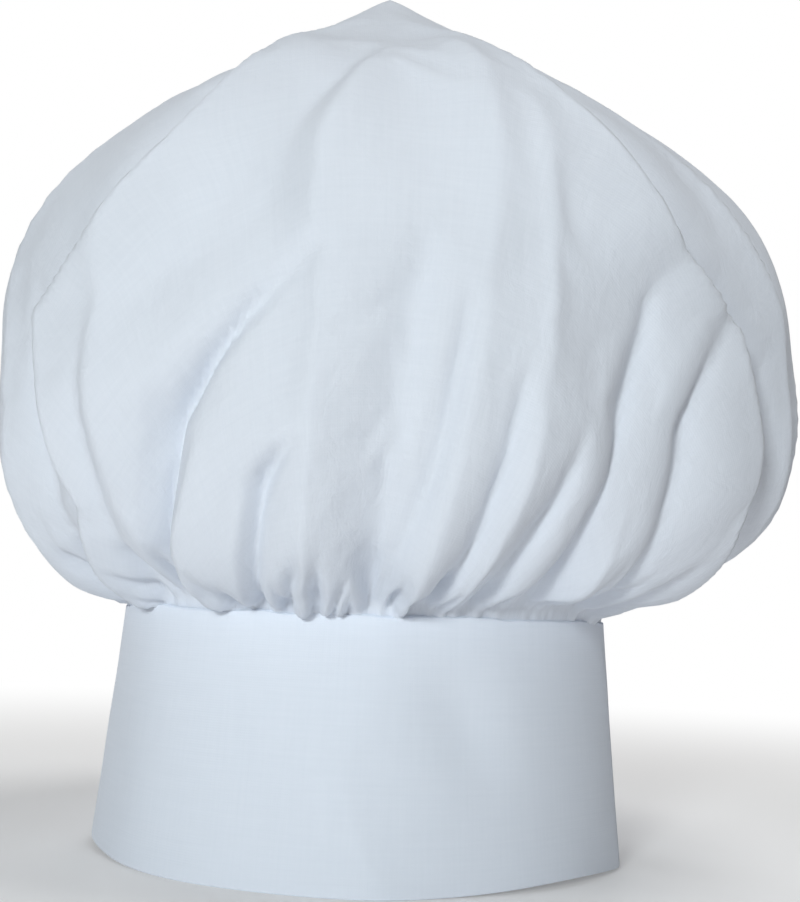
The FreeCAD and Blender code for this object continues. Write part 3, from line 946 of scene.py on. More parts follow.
class Fold:
    """One fold of the crown, on a path down the cloth.

    levels are fractions of the way from the peak to the rim, and bearings the path's bearing at
    each. depth is how far the cloth goes in (negative) or stands out. left and right are the
    widths in degrees to either side, sharp the power of the falling-off (1 is a crease, 2 a
    soft roll). fade is how gently it begins, and low where it ends. lap, in degrees, pulls the
    cloth over itself so that one side lies on the other.
    """

    def __init__(
        self, levels: tuple[float, ...], bearings: tuple[float, ...], depth: float, left: float, right: float,
        sharp: float = 1.2, fade: float = 0.12, low: float = 1.4, lap: float = 0.0,
    ) -> None:
        """Keep the fold's numbers."""
        self.levels, self.bearings, self.depth = levels, bearings, depth
        self.left, self.right, self.sharp = left, right, sharp
        self.fade, self.low, self.lap = fade, low, lap

    def shift(self, level: np.ndarray, bearing: np.ndarray) -> tuple[np.ndarray, np.ndarray]:
        """How far the fold moves each point.

        The height is depth times e^-|x/w|^sharp, with x the bearing from the path and w the
        width on that side, times an eased start and end. A fold starts narrow and opens, and
        above the belly its width is a length and not an angle. The sideways part is lap times
        x/w e^-(x/w)^2, which doubles the cloth back where it is strong.

        Args:
            level: Fractions of the way from the peak to the rim.
            bearing: Degrees round from the front.

        Returns:
            Millimetres outwards, and degrees round.
        """
        x = turned(bearing - np.interp(level, self.levels, self.bearings))
        run = ease((level - self.levels[0]) / (self.fade * 1.4))
        opened = 0.3 + 0.7 * ease((level - self.levels[0]) / (self.fade * 2.4))
        opened *= np.maximum(1.0, 0.6 / np.maximum(level, 0.05))
        x = x / (np.where(x < 0, self.left, self.right) * opened)
        if self.low < 1.2:
            run = run * ease((self.low - level) / 0.1)
        out = self.depth * np.exp(-np.abs(x) ** self.sharp) * run
        return out, -self.lap * x * np.exp(0.5 - x * x / 2) * run


@dataclass(frozen=True)
class Gathers:
    """One kind of fold at the back: how many, between which levels they begin, and their size."""

    count: int
    top: tuple[float, float]
    depth: float
    width: float
    wander: float
    fade: float
    lap: float


# The folds that show from the front, from its left to its right.
FRONT_FOLDS = (
    # the front layer's left edge, which lies over the layers behind it
    Fold((0.06, 0.2, 0.42, 0.49, 0.58, 0.64, 0.74, 0.82, 0.95), (-10, -26, -27, -29, -37, -45, -43, -42, -50), 7.5, 2.4, 15, 1.1, 0.26, 1.05),
    Fold((0.12, 0.25, 0.42, 0.49, 0.58, 0.64, 0.74, 0.82, 0.95), (-20, -28, -30, -32, -40, -48.5, -46.5, -45.5, -54), 0.0, 4.2, 4.2, 1.0, 0.15, 1.03, 3.2),
    Fold((0.12, 0.25, 0.42, 0.49, 0.58, 0.64, 0.74, 0.82, 1), (-25, -33, -34, -36, -44, -53, -51, -50, -62), -10, 7, 2.8, 1.05, 0.42),
    # the layers behind it
    Fold((0.16, 0.3, 0.45, 0.6, 0.72, 0.86, 1), (-48, -57, -62, -66, -63, -66, -74), 6, 2.2, 7, 1.1, 0.32, 1.02),
    Fold((0.18, 0.3, 0.45, 0.6, 0.72, 0.86, 1), (-54, -62, -67, -71, -69, -72, -80), -9, 6, 2.6, 1.05, 0.38),
    Fold((0.56, 0.68, 0.8, 1), (-55, -57, -56, -62), -6, 3, 2.2, 1.0, 0.12),
    # creases of the front layer beside its left edge
    Fold((0.62, 0.72, 0.82, 0.92, 1), (-38, -38.5, -39, -42, -47), -6.5, 3.4, 2.0, 1.0, 0.12),
    Fold((0.50, 0.60, 0.70, 0.8), (-31, -36, -37, -36.5), 3.5, 2.2, 5, 1.1, 0.12, 0.98),
    Fold((0.80, 0.9, 1), (-47, -50, -54), -6, 2.4, 2.0, 1.0, 0.08),
    # the dent under the peak and the long valley that turns down from it
    Fold((0.3, 0.4, 0.47, 0.55), (-5, -9, -13, -15), -6, 10, 5, 1.5, 0.1, 0.64),
    Fold((0.58, 0.64, 0.70, 0.75, 0.82, 0.88, 1), (-6, -15, -22, -27, -30, -33, -36), -16, 8.5, 3.0, 1.1, 0.12),
    Fold((0.72, 0.8, 0.87, 0.95), (-21, -25, -29, -30), 5, 2.0, 9, 1.1, 0.1, 1.02),
    Fold((0.86, 0.93, 1), (-30, -27, -24), -6, 2.2, 4, 1.0, 0.06),
    # the sharp crease at the left of the middle
    Fold((0.745, 0.77, 0.80, 0.86, 0.92, 1), (-7, -11, -14, -16, -18, -20), -8, 4, 1.6, 1.0, 0.04),
    Fold((0.78, 0.86, 0.93, 1), (-16, -18.5, -21, -22.5), 3.5, 3, 1.6, 1.0, 0.05, 1.05),
    Fold((0.90, 0.95, 1), (-14.5, -14.5, -15), -6, 1.6, 1.6, 1.0, 0.05),
    # the ridge from the peak down the middle, and the broad valley at its right
    Fold((0.30, 0.40, 0.50, 0.57, 0.67, 0.82, 1), (2, -5, -9, -9, -8, -8.5, -10), 5.5, 3.2, 8, 1.15, 0.1),
    Fold((0.52, 0.62, 0.72, 0.82, 0.92), (4, 3, 1.5, 0.5, 0), -8, 8, 4.5, 1.6, 0.15, 1.0),
    Fold((0.86, 0.92, 0.97), (-2.5, -3.5, -4), 4.5, 3.0, 4.5, 1.3, 0.07, 1.03),
    Fold((0.84, 0.9, 1), (-6.5, -7.5, -8), -6.5, 2.2, 1.8, 1.0, 0.07),
    Fold((0.58, 0.68, 0.78, 0.88, 1), (9, 8.5, 7, 4.5, 3), -6.5, 4.0, 2.2, 1.05, 0.12),
    # the middle's right
    Fold((0.26, 0.38, 0.5, 0.62, 0.72, 0.86, 1), (6, 12, 12.5, 11, 9.5, 8.5, 8), 4.5, 3.5, 4.5, 1.2, 0.1),
    Fold((0.88, 0.94, 1), (6.5, 6.5, 6), -5.5, 1.5, 1.8, 1.0, 0.06),
    Fold((0.66, 0.74, 0.86, 0.94, 1), (17, 15.5, 14.5, 12.5, 11), -7.5, 3.0, 2.2, 1.05, 0.1),
    Fold((0.40, 0.49, 0.65, 0.78, 0.9, 1), (17, 18.5, 18.5, 18, 17.5, 18), 3.5, 2.6, 2.6, 1.1, 0.1),
    Fold((0.90, 0.95, 1), (16.5, 16, 15), -6, 1.5, 2.0, 1.0, 0.06),
    Fold((0.70, 0.80, 0.9, 1), (25, 23.5, 22, 22), -8, 4.5, 2.6, 1.1, 0.10),
    Fold((0.92, 0.96, 1), (27, 27, 27), -4.5, 1.6, 1.6, 1.0, 0.05),
    # the long folds of the right
    Fold((0.55, 0.64, 0.72, 0.82, 0.9, 1), (33, 32.5, 30.5, 30.5, 32, 35), -10.5, 3.2, 6, 1.05, 0.12),
    Fold((0.80, 0.88, 0.95), (35, 37, 39), 3.5, 2.5, 4, 1.1, 0.08, 1.02),
    Fold((0.84, 0.92, 1), (40, 42, 43), -6.5, 3, 2.2, 1.0, 0.08),
    Fold((0.57, 0.64, 0.72, 0.80, 0.88, 1), (43, 42.5, 40.5, 42, 45, 51), -9.5, 3.0, 5, 1.05, 0.12),
    Fold((0.80, 0.9, 1), (51, 54, 59), -7.5, 3, 2.4, 1.0, 0.10),
    # the front layer's right edge, and the shaded layers behind it
    Fold((0.05, 0.2, 0.3, 0.38, 0.44, 0.5, 0.57, 0.63, 0.73, 0.81, 0.95), (2, 12, 17, 21, 24, 28, 34, 45, 51, 53, 64), 7.5, 15, 2.4, 1.1, 0.26, 1.05),
    Fold((0.12, 0.25, 0.38, 0.44, 0.5, 0.57, 0.63, 0.73, 0.81, 0.95), (12, 18, 24, 27, 31, 37, 48.5, 54.5, 56.5, 68), 0.0, 4.2, 4.2, 1.0, 0.15, 1.03, 3.2),
    Fold((0.12, 0.25, 0.38, 0.44, 0.5, 0.57, 0.63, 0.73, 0.81, 1), (17, 23, 28, 31, 35, 41, 53, 59, 61, 73), -11, 2.8, 6.5, 1.05, 0.42),
    Fold((0.2, 0.35, 0.5, 0.6, 0.72, 0.86, 1), (34, 46, 55, 63, 67, 71, 80), 6.5, 7, 2.2, 1.1, 0.32, 1.02),
    Fold((0.22, 0.35, 0.5, 0.6, 0.72, 0.86, 1), (40, 51, 60, 68, 72, 76, 86), -10, 2.6, 6, 1.05, 0.38),
    Fold((0.55, 0.66, 0.78, 1), (75, 78, 80, 85), 5, 5, 2.4, 1.1, 0.15, 1.0),
    Fold((0.6, 0.7, 0.82, 1), (80, 84, 86, 92), -9, 2.6, 6, 1.05, 0.12),
)


@dataclass
class Crown:
    """The crown: a circle of poplin with its rim drawn in to the band and held in the seam.

    rings is how many rings of points stand for the cloth. The two profiles are the crown's line
    from its peak to its rim at its front and at its sides, as (radius, height).
    """

    rings: int = 116
    frames: int = 9
    grown: float = 0.012
    pressure: float = 0.35
    vent_top: float = 31.0
    vent_half: float = 1.5
    vent_flat: float = 7.0
    back: tuple[Gathers, ...] = (
        Gathers(10, (0.26, 0.5), 16.0, 7.5, 2.2, 0.2, 1.0), Gathers(15, (0.42, 0.68), 14.0, 5.0, 1.4, 0.2, 0.6),
        Gathers(26, (0.68, 0.88), 10.0, 3.0, 0.7, 0.09, 0.0),
    )
    folds: list[Fold] = field(default_factory=lambda: list(FRONT_FOLDS))
    front: tuple[tuple[float, float], ...] = (
        (0, 331.5), (5, 328.6), (19, 319), (40, 306), (63, 293), (85, 278), (108.5, 256), (127, 232), (136, 208), (138.5, 184), (139, 158),
        (135, 134), (125, 113), (111, 98), (97, 89.5), (89.6, 86.2), (88.7, 79),
    )
    side: tuple[tuple[float, float], ...] = (
        (0, 331.5), (5, 328.6), (19, 319), (40, 306), (63, 293), (85, 278), (110, 256), (131, 232), (143, 208), (146, 184), (146, 158),
        (140, 135), (126, 116.5), (109, 104), (96, 94), (89.6, 86.8), (88.7, 79),
    )

    def __post_init__(self) -> None:
        """Work out the cloth's points on the flat, and the profiles' lengths."""
        k = np.arange(1, self.rings + 1)
        self.ring = np.concatenate([[0], np.repeat(k, 6 * k)])
        self.first = np.concatenate([[0], 1 + 3 * np.arange(self.rings) * k])
        place = np.arange(len(self.ring)) - self.first[self.ring]
        self.bearing = turned(np.where(self.ring > 0, place / np.maximum(6 * self.ring, 1) * FULL_TURN, 0.0))
        self.level = self.ring / self.rings
        lines = [round_line(np.array(p, float)) for p in (self.front, self.side)]
        self.lines = lines
        runs = [np.concatenate([[0], np.cumsum(np.hypot(*np.diff(c, axis=0).T))]) for c in lines]
        self.runs = [r / r[-1] for r in runs]
        self.reach = float(np.mean([r[-1] for r in runs]))
        self.seam_level = 1 - 7.4 / self.reach

    def triangles(self) -> np.ndarray:
        """Triangles that join the rings: in each of six sectors a strip between two rings.

        Returns:
            Three point numbers a triangle.
        """
        made = []
        sector = np.arange(6)[:, None]
        for k in range(self.rings):
            inner, outer = max(6 * k, 1), 6 * (k + 1)
            j = np.arange(k + 1)[None, :]
            a = self.first[k] + (sector * k + j) % inner
            b = self.first[k + 1] + (sector * (k + 1) + j) % outer
            c = self.first[k + 1] + (sector * (k + 1) + j + 1) % outer
            made.append(np.stack([a, b, c], -1).reshape(-1, 3))
            j = np.arange(k)[None, :]
            a = self.first[k] + (sector * k + j) % inner
            c = self.first[k + 1] + (sector * (k + 1) + j + 1) % outer
            d = self.first[k] + (sector * k + j + 1) % inner
            made.append(np.stack([a, c, d], -1).reshape(-1, 3))
        return np.concatenate(made)

    def base(self, level: np.ndarray, bearing: np.ndarray) -> tuple[np.ndarray, np.ndarray, np.ndarray, np.ndarray]:
        """The crown without folds: the front's profile eased into the sides' and back's.

        Args:
            level: Fractions of the way from the peak to the rim.
            bearing: Degrees round from the front.

        Returns:
            Radius, height, and the outward normal's radial and upward parts.
        """
        share = ease(0.5 + 0.75 * np.cos(np.radians(bearing)))
        fine = np.linspace(0, 1, 1201)
        found = []
        for line, run in zip(self.lines, self.runs):
            r, z = (np.interp(fine, run, line[:, i]) for i in (0, 1))
            dr, dz = np.gradient(r), np.gradient(z)
            size = np.hypot(dr, dz)
            found.append([np.interp(level, fine, q) for q in (r, z, -dz / size, dr / size)])
        front, side = found
        r, z, nr, nz = (f * share + s * (1 - share) for f, s in zip(front, side))
        size = np.hypot(nr, nz)
        return r, z, nr / size, nz / size

    def all_folds(self) -> list[Fold]:
        """The front's folds and, round the sides and back, gathers of uneven size.

        Long pleats run high up, shorter ones lie between them, and the shortest stay near the
        seam. Each wanders a little on its way down and is steeper on one side.

        Returns:
            The folds.
        """
        rng = np.random.default_rng(17)
        made = list(self.folds)
        start, stop = 90.0, FULL_TURN - 82.0
        for kind in self.back:
            for i in range(kind.count):
                rim = start + (stop - start) * (i + rng.uniform(0.15, 0.85)) / kind.count
                top = rng.uniform(*kind.top)
                levels = tuple(np.linspace(top, 1.0, 5))
                walk = np.cumsum(rng.normal(0, kind.wander, 5))
                bearings = tuple(rim + walk[::-1] - walk[0])
                broad, steep = kind.width * rng.uniform(0.7, 1.4), kind.width * rng.uniform(0.3, 0.5)
                sides = (broad, steep) if rng.random() < 0.5 else (steep, broad)
                depth = -kind.depth * rng.uniform(0.6, 1.25)
                made.append(Fold(levels, bearings, depth, *sides, rng.uniform(1.05, 1.5), kind.fade, 1.4, kind.lap))
        return made

    def puckers(self, level: np.ndarray, bearing: np.ndarray) -> np.ndarray:
        """The small gathers at the seam: narrow valleys about six degrees apart, of uneven reach.

        Each is e^-|x/w| across, begins at its own level, and stays to the rim.

        Args:
            level: Fractions of the way from the peak to the rim.
            bearing: Degrees round from the front.

        Returns:
            Millimetres outwards.
        """
        rng = np.random.default_rng(29)
        out = np.zeros_like(level)
        at = -180.0
        while at < 180.0:
            width, top = rng.uniform(0.7, 1.5), rng.uniform(0.83, 0.95)
            depth, lean = rng.uniform(3.5, 8.0), rng.normal(0, 2.2)
            x = turned(bearing - at - lean * (1 - level) / 0.1)
            out -= depth * np.exp(-np.abs(x / width) ** 1.15) * ease((level - top) / 0.06)
            at += rng.uniform(2.6, 5.6)
        return out

    def folded(self, level: np.ndarray, bearing: np.ndarray) -> np.ndarray:
        """The crown with its folds, in millimetres.

        Folds and puckers move the base along its normal, and laps move it round. Near the rim the
        movement is squeezed so that the valleys meet the seam and the crests stand over the band.
        Beside the vent the cloth lies flat.

        Args:
            level: Fractions of the way from the peak to the rim.
            bearing: Degrees round from the front.

        Returns:
            The points.
        """
        r, z, nr, nz = self.base(level, bearing)
        out, round_ = np.zeros_like(level), np.zeros_like(level)
        for fold in self.all_folds():
            rise, lap = fold.shift(level, bearing)
            out += rise
            round_ += lap
        # the peak is drawn tight, so folds start small there
        out *= ease((level + 0.06) / 0.42)
        round_ *= ease((level - 0.34) / 0.22)
        out += self.puckers(level, bearing)
        rounds = (bearing % FULL_TURN) / FULL_TURN
        loose = ease((level - 0.12) / 0.35)
        away = ease((np.abs(bearing) - 60) / 30)
        out += (1.4 + 1.8 * away) * value_noise(rounds * 15, level * 4.5, 4, 15) * loose
        out += 1.5 * value_noise(rounds * 36, level * 9, 3, 36) * loose
        # thin creases where a slow noise changes sign
        crease = np.abs(value_noise(rounds * 26 + np.sin(9 * level), level * 3.5, 9, 26))
        out += (1.6 + 2.0 * away) * (crease - 0.35) * loose
        # the seam holds the cloth: the nearer to it, the less room there is for a fold
        room = ease((self.seam_level + 0.004 - level) / 0.13)
        limit = 4.6 + 30 * room
        right = np.exp(-(((bearing - 78) / 28) ** 2))
        crest = (3.4 - 2.4 * right) * ease((level - 0.8) / 0.14)
        out = limit * np.tanh((out + crest) / limit)
        out = np.where(level > self.seam_level, out * ease((1.0 - level) / (1 - self.seam_level)), out)
        full = 3.0 + 6.5 * ease((np.abs(bearing) - 60) / 25)
        out = out + full * ease((level - 0.2) / 0.3) * ease((0.97 - level) / 0.2)
        flat = self.beside_vent(level, bearing)
        out, round_ = out * (1 - flat), round_ * (1 - flat)
        inside = ease((level - self.seam_level + 0.012) / 0.016)
        shift = out * (1 - 0.75 * inside)
        # near the seam the crests hang over the band's edge instead of standing straight out
        hang = -0.35 * np.maximum(out, 0) * ease((level - 0.93) / 0.04) * (1 - inside)
        # cloth that swells on the crown's underside bears on the air in the fold, and hangs less
        drop = nz * shift
        drop = np.where(drop < 0, 0.6 * drop, drop)
        tucked = 4.5 * right * ease((level - 0.72) / 0.16) * (1 - inside)
        points = polar(bearing + round_, r + nr * shift, z + drop + hang + tucked)
        lean = np.sin(np.pi * np.clip((level - 0.08) / 0.92, 0, 1) ** 1.3)
        points[..., 0] += 8.8 * lean * np.cos(np.radians(bearing / 2)) ** 0.5
        return points

    def beside_vent(self, level: np.ndarray, bearing: np.ndarray) -> np.ndarray:
        """1 on the flat strip beside the vent, easing to 0 past it and above it."""
        x = np.abs(turned(bearing - VENT))
        down = (1 - level) * self.reach
        return ease((2.1 * self.vent_flat - x) / self.vent_flat) * ease((self.vent_top + 34 - down) / 24)

    def settle(self, points: np.ndarray, piece: bpy.types.Object) -> np.ndarray:
        """Let the cloth settle: a short cloth simulation with air in the crown.

        Its rim, its peak and the strip beside the vent are held. It is let out a little, so that
        it buckles into small folds of its own.

        Args:
            points: The folded crown's points.
            piece: The crown.

        Returns:
            The settled points.
        """
        strip = (self.beside_vent(self.level, self.bearing) > 0.5) & (self.level > 0.9 - self.vent_top / self.reach)
        held = (self.ring >= int(self.seam_level * self.rings)) | (self.ring <= 1) | strip
        group = piece.vertex_groups.new(name="held")
        group.add(np.flatnonzero(held).tolist(), 1.0, "REPLACE")
        cloth = piece.modifiers.new("cloth", "CLOTH")
        s = cloth.settings
        s.quality, s.mass, s.air_damping = 5, 0.1, 2.0
        s.tension_stiffness = s.compression_stiffness = 20.0
        s.shear_stiffness, s.bending_stiffness = 5.0, 0.1
        s.tension_damping = s.compression_damping = 5.0
        s.use_pressure, s.uniform_pressure_force = True, self.pressure
        s.vertex_group_mass, s.pin_stiffness = "held", 1.0
        s.shrink_min = s.shrink_max = -self.grown
        s.effector_weights.gravity = 0.05
        cloth.collision_settings.use_collision = False
        cloth.collision_settings.use_self_collision = False
        cloth.point_cache.frame_start, cloth.point_cache.frame_end = 1, self.frames + 2
        for step in range(1, self.frames + 1):
            bpy.context.scene.frame_set(step)
        seen = piece.evaluated_get(bpy.context.evaluated_depsgraph_get())
        settled = np.empty(points.size)
        seen.data.vertices.foreach_get("co", settled)
        piece.modifiers.clear()
        piece.vertex_groups.clear()
        bpy.context.scene.frame_set(1)
        return settled.reshape(-1, 3) / MM

    def ironed(self, points: np.ndarray, faces: np.ndarray, passes: int = 1) -> np.ndarray:
        """Take out wrinkles no wider than a triangle and leave the folds.

        Each pass moves a point a share of the way to the mean of its neighbours and then a little
        further back, so that the cloth does not shrink.

        Args:
            points: The crown's points.
            faces: Its triangles.
            passes: How often.

        Returns:
            The smoothed points.
        """
        edges = np.unique(np.sort(np.concatenate([faces[:, [0, 1]], faces[:, [1, 2]], faces[:, [2, 0]]]), axis=1), axis=0)
        near = np.bincount(edges.ravel(), minlength=len(points))[:, None]
        held = (self.level > self.seam_level - 0.02) | (self.beside_vent(self.level, self.bearing) > 0.5)
        free = (~held & (self.ring > 0))[:, None]
        for share in (0.55, -0.57) * passes:
            total = np.stack([
                np.bincount(edges[:, 0], points[edges[:, 1], i], len(points))
                + np.bincount(edges[:, 1], points[edges[:, 0], i], len(points))
                for i in range(3)
            ], -1)
            points = points + share * free * (total / near - points)
        return points

    def cloth(self) -> bpy.types.Object:
        """The crown's cloth.

        Returns:
            The crown.
        """
        points = self.folded(self.level, self.bearing)
        faces = self.triangles()
        flat = np.radians(self.bearing)
        run = self.level * self.reach
        uv = np.stack([run * np.sin(flat), -run * np.cos(flat)], -1) * MM
        if self.frames:
            rough = build("crown_settling", points, [faces])
            points = self.settle(points, rough)
            bpy.data.objects.remove(rough)
        points = self.ironed(points, faces)
        x = turned(self.bearing - VENT)
        side = np.abs(x) * np.radians(1) * np.interp((1 - self.level) * self.reach, (0, 30), (90, 110))
        down = (1 - self.level) * self.reach
        cut = (side < self.vent_half * 1.5) & (down < self.vent_top)
        faces = faces[~cut[faces].any(1)]
        used = np.unique(faces)
        number = np.zeros(len(points), int)
        number[used] = np.arange(len(used))
        faces = number[faces]
        piece = build("crown_cloth_gathered", points[used], [faces], uv[used])
        face_out(piece, points[used], faces)
        solidify(piece, CLOTH)
        POPLIN.dress(piece)
        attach(piece, Body.HAT.value)
        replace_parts(piece, "crown")
        return piece


@dataclass
class Vent:
    """The slit over the closure: bias binding folded over its edges, and a bar tack at its end."""

    crown: Crown
    width: float = 6.0
    ply: float = 0.5

    def surface(self, down: np.ndarray, across: np.ndarray, out: np.ndarray) -> np.ndarray:
        """Points on the flat strip beside the vent.

        Args:
            down: Millimetres along the cloth from its rim.
            across: Millimetres to the side of the slit's middle.
            out: Millimetres out from the cloth.

        Returns:
            The points.
        """
        level = 1 - down / self.crown.reach
        r, _, _, _ = self.crown.base(level, np.full_like(level, VENT))
        bearing = VENT + np.degrees(across / r)
        here = self.crown.folded(level, bearing)
        step = 1e-3
        up = self.crown.folded(level - step, bearing) - here
        aside = self.crown.folded(level, bearing + 0.3) - here
        normal = np.cross(up, aside)
        normal /= np.linalg.norm(normal, axis=-1, keepdims=True)
        away = np.sign((normal * here * np.array([1, 1, 0])).sum(-1, keepdims=True))
        return here + normal * away * out[..., None]

    def binding(self) -> bpy.types.Object:
        """The binding: a folded strip that runs up one edge of the slit, round its end and down.

        Its section is a flat loop that wraps the cloth's edge: out over the cloth, round its
        inner edge at the slit, and back under the cloth.

        Returns:
            The binding.
        """
        c = self.crown
        foot, head = 8.2, c.vent_top + 2.0
        straight = np.linspace(foot, head - 2.2, 26)
        turn = np.linspace(0, np.pi, 13)[1:-1]
        down = np.concatenate([straight, head - 2.2 + 2.2 * np.sin(turn), straight[::-1]])
        edge = np.concatenate([np.full(26, -0.45), -0.45 * np.cos(turn), np.full(26, 0.45)])
        away_down = np.concatenate([np.zeros(26), np.sin(turn), np.zeros(26)])
        away_side = np.concatenate([np.full(26, -1.0), -np.cos(turn), np.ones(26)])
        lip = np.linspace(-np.pi / 2, np.pi / 2, 7)
        thick = self.ply + 0.35
        reach = np.concatenate([np.linspace(self.width, 0.8, 6), 0.8 - 0.8 * np.cos(lip), np.linspace(0.8, self.width, 6)])
        high = np.concatenate([np.full(6, -thick - 0.25), thick * np.sin(lip), np.full(6, thick)])
        high[0], high[-1] = -CLOTH - 0.1, 0.12
        points = self.surface(
            down[:, None] + away_down[:, None] * reach[None, :],
            edge[:, None] + away_side[:, None] * reach[None, :],
            high[None, :] + 0 * down[:, None],
        )
        count = len(reach)
        run = np.cumsum(np.concatenate([[0], np.hypot(np.diff(down), np.diff(edge))]))
        # cut on the bias: the weave's two ways lie at 45 degrees to the strip
        u = run[:, None] + 0 * reach[None, :]
        v = np.concatenate([[0], np.cumsum(np.hypot(np.diff(reach), np.diff(high)))])[None, :] + 0 * u
        uv = np.stack([u + v, u - v], -1) * (math.sqrt(0.5) * MM)
        faces = grid_faces(len(down), count)
        piece = build("vent_binding_bias", points, [faces], uv)
        face_out(piece, points.reshape(-1, 3), faces)
        solidify(piece, 0.28)
        BIAS.dress(piece)
        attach(piece, Body.HAT.value)
        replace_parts(piece, "vent_binding")
        return piece

    def bartack(self) -> bpy.types.Object:
        """The bar tack: satin stitches side by side across the slit's end.

        Returns:
            The bar tack.
        """
        lines = np.linspace(-0.95, 0.95, 9)[:, None]
        run = np.linspace(-4.2, 4.2, 11)[None, :]
        slant = 0.12 * np.sin(np.arange(9) * 2.4)[:, None]
        down = self.crown.vent_top + 0.2 + lines + slant * run / 4.2
        high = 1.35 - 1.1 * (np.abs(run) / 4.2) ** 4 + 0 * lines
        path = self.surface(down + 0 * run, run + 0 * down, high + 0 * down)
        along = np.gradient(path, axis=1)
        out = polar(np.full(path.shape[:2], VENT), np.ones(path.shape[:2]), -0.5 * np.ones(path.shape[:2]))
        side = np.cross(out, along)
        side /= np.linalg.norm(side, axis=-1, keepdims=True)
        points, faces = tubes(path, side * 0.16, out * 0.17)
        piece = build("vent_bartack_satin", points, faces)
        THREAD.dress(piece)
        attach(piece, Body.HAT.value)
        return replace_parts(piece, "vent_bartack")


@dataclass
class CareLabel:
    """The blank label caught in the seam inside the back, a folded satin ribbon that hangs."""

    shape: BandShape
    bearing: float = bearing_of(58.0)
    width: float = 32.0
    length: float = 44.0
    top: float = 85.0

    def sheet(self) -> bpy.types.Object:
        """The label.

        It hangs plumb from the seam, its sides curling in a little and its foot a little more,
        and its foot is turned up 3 mm and pressed.

        Returns:
            The label.
        """
        low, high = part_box("care_label")
        angle = math.radians(self.bearing)
        out = np.array([math.sin(angle), -math.cos(angle), 0.0])
        aside = np.array([math.cos(angle), math.sin(angle), 0.0])
        centre = np.array([(low[0] + high[0]) / 2, (low[1] + high[1]) / 2, 0.0]) / MM
        u = np.linspace(-0.5, 0.5, 25)[None, :]
        v = np.linspace(0, 1, 34)[:, None]
        hem = 3.0 / self.length
        fall = np.where(v < 1 - hem, v, 2 * (1 - hem) - v)
        height = self.top - self.length * (1 - 0.002) * fall / (1 - hem) * (1 - hem / 2) + 0 * u
        curl = 0.5 * (1 - (2 * u) ** 2) * (0.25 + 0.75 * fall) + 0.35 * np.sin(3.1 * fall + 4 * u) * fall
        back = np.where(v > 1 - hem, 0.32, 0.0)
        depth = curl + back
        points = centre + aside * (u * self.width + 0 * v)[..., None] - out * depth[..., None]
        points[..., 2] = height
        uv = np.stack([u * self.width + 0 * v, v * self.length + 0 * u], -1) * MM
        faces = grid_faces(34, 25)
        piece = build("care_label_blank", points, [faces], uv)
        solidify(piece, 0.2)
        SATIN.dress(piece)
        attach(piece, Body.LABEL.value)
        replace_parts(piece, "care_label")
        return piece


# ---------------------------------------------------------------- the studio


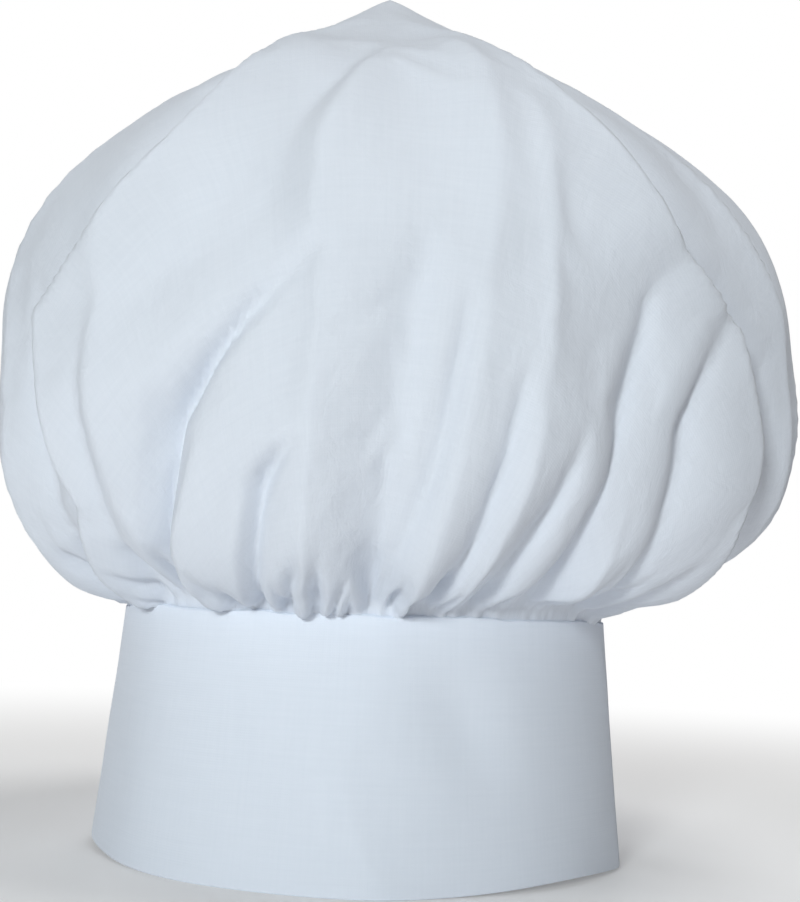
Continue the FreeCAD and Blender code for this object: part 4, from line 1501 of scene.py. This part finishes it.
@dataclass
class Studio:
    """A white table and wall, a soft key from the front left, a weak fill, and the camera."""

    distance: float = 0.52739
    eye_height: float = 0.08965
    eye_side: float = 0.0187
    focal_pixels: float = 1368.9
    tilt: float = 0.112
    roll: float = 0.038
    turn: float = -0.015

    def floor(self) -> bpy.types.Object:
        """A round white table top under the hat: rings of points at even angles.

        Returns:
            The floor.
        """
        angle = np.linspace(0, 2 * np.pi, 96, endpoint=False)[None, :]
        radius = np.array([0.05, 0.4, 1.0, 2.2, 4.0])[:, None] / MM
        points = np.stack([radius * np.cos(angle), radius * np.sin(angle), 0 * radius * angle], -1)
        middle = np.arange(96)[None, ::-1]
        piece = build("floor", points, [grid_faces(5, 96, closed_columns=True), middle])
        if piece.data.polygons[0].normal.z < 0:
            piece.data.flip_normals()
        made = bpy.data.materials.new("paper_matt_white")
        made.use_nodes = True
        shader = made.node_tree.nodes["Principled BSDF"]
        shader.inputs["Base Color"].default_value = linear("DCDCDC")
        shader.inputs["Emission Color"].default_value = (1.0, 1.0, 1.0, 1.0)
        shader.inputs["Emission Strength"].default_value = 0.2
        # far from the hat the sheet of paper runs out into the white of the room
        tree = made.node_tree
        place = add_node(tree, "ShaderNodeTexCoord").outputs["Object"]
        away = add_node(tree, "ShaderNodeVectorMath", {"operation": "LENGTH"}, {0: place}).outputs["Value"]
        far = add_node(
            tree, "ShaderNodeMapRange", {"interpolation_type": "SMOOTHSTEP", "From Min": 0.15, "From Max": 0.9},
            {"Value": away},
        )
        seen = add_node(tree, "ShaderNodeLightPath").outputs["Is Camera Ray"]
        glow = add_node(tree, "ShaderNodeMath", {"operation": "MULTIPLY"}, {0: far.outputs[0], 1: seen})
        white = add_node(tree, "ShaderNodeEmission", {"Color": (1.0, 1.0, 1.0, 1.0)})
        mix = add_node(
            tree, "ShaderNodeMixShader", links={0: glow.outputs[0], 1: shader.outputs[0], 2: white.outputs[0]}
        )
        # from underneath the paper is clear, so that the inside of the hat can be seen
        under = add_node(tree, "ShaderNodeNewGeometry").outputs["Backfacing"]
        clear = add_node(tree, "ShaderNodeBsdfTransparent")
        mix = add_node(tree, "ShaderNodeMixShader", links={0: under, 1: mix.outputs[0], 2: clear.outputs[0]})
        tree.links.new(mix.outputs[0], tree.nodes["Material Output"].inputs[0])
        shader.inputs["Roughness"].default_value = 0.95
        shader.inputs["Specular IOR Level"].default_value = 0.1
        piece.data.materials.append(made)
        return piece

    def lamp(self, name: str, place: tuple[float, float, float], size: float, power: float, colour: str) -> None:
        """A square soft light that looks at the crown."""
        light = bpy.data.lights.new(name, "AREA")
        light.size, light.energy = size, power
        light.color = linear(colour)[:3]
        lamp = bpy.data.objects.new(name, light)
        lamp.location = place
        lamp.rotation_euler = (Vector((0, 0, 0.17)) - Vector(place)).to_track_quat("-Z", "Y").to_euler()
        bpy.context.scene.collection.objects.link(lamp)

    def lights(self) -> None:
        """The lamps and the even light of a white room."""
        self.lamp("key", (-0.46, -1.75, 0.48), 0.3, 18.6, "F9FFFF")
        self.lamp("top", (0.45, -0.2, 1.9), 0.8, 13.0, "FFFFFF")
        self.lamp("behind_left", (-1.1, 1.9, 0.8), 1.0, 12.0, "FFFFFF")
        self.lamp("behind", (0.15, 2.2, 0.9), 1.0, 12.0, "FFFFFF")
        world = bpy.data.worlds.new("white_room")
        world.use_nodes = True
        tree = world.node_tree
        room = tree.nodes["Background"]
        room.inputs[0].default_value = linear("FFF7F0")
        room.inputs[1].default_value = 0.06
        wall = add_node(tree, "ShaderNodeBackground", {"Color": (1.0, 1.0, 1.0, 1.0), "Strength": 1.0})
        seen = add_node(tree, "ShaderNodeLightPath").outputs["Is Camera Ray"]
        mix = add_node(tree, "ShaderNodeMixShader", links={0: seen, 1: room.outputs[0], 2: wall.outputs[0]})
        tree.links.new(mix.outputs[0], tree.nodes["World Output"].inputs[0])
        scene = bpy.context.scene
        scene.world = world
        scene.view_settings.view_transform = "Standard"

    def camera(self) -> None:
        """The camera, a little under the seam's level and looking up."""
        made = bpy.data.cameras.new("camera")
        made.sensor_width = 36.0
        made.lens = made.sensor_width * self.focal_pixels / 902
        made.clip_start = 0.01
        camera = bpy.data.objects.new("camera", made)
        bpy.context.scene.collection.objects.link(camera)
        bpy.context.scene.camera = camera
        camera.matrix_world = (
            Matrix.Translation((self.eye_side, -self.distance, self.eye_height))
            @ Matrix.Rotation(-self.turn, 4, "Z")
            @ Matrix.Rotation(math.pi / 2 + self.tilt, 4, "X")
            @ Matrix.Rotation(self.roll, 4, "Z")
        )

    def make(self) -> None:
        """Set up the whole studio."""
        self.floor()
        self.lights()
        self.camera()


def main() -> None:
    """Build every sub-assembly in order."""
    logging.basicConfig(level=logging.INFO, format="%(name)s %(message)s")
    Studio().make()
    shape = BandShape()
    band = Band(shape)
    closure = Closure(shape)
    crown = Crown()
    vent = Vent(crown)
    pieces = [
        crown.cloth(), band.cloth(), band.interlining(), closure.tab(), closure.interlining(), closure.hooks(),
        closure.loops(), vent.binding(), vent.bartack(), CareLabel(shape).sheet(),
    ]
    pieces += Sewing(shape, closure).make()
    for piece in pieces:
        LOG.info("made %s, %d faces", piece.name, len(piece.data.polygons))


if __name__ == "__main__":
    main()
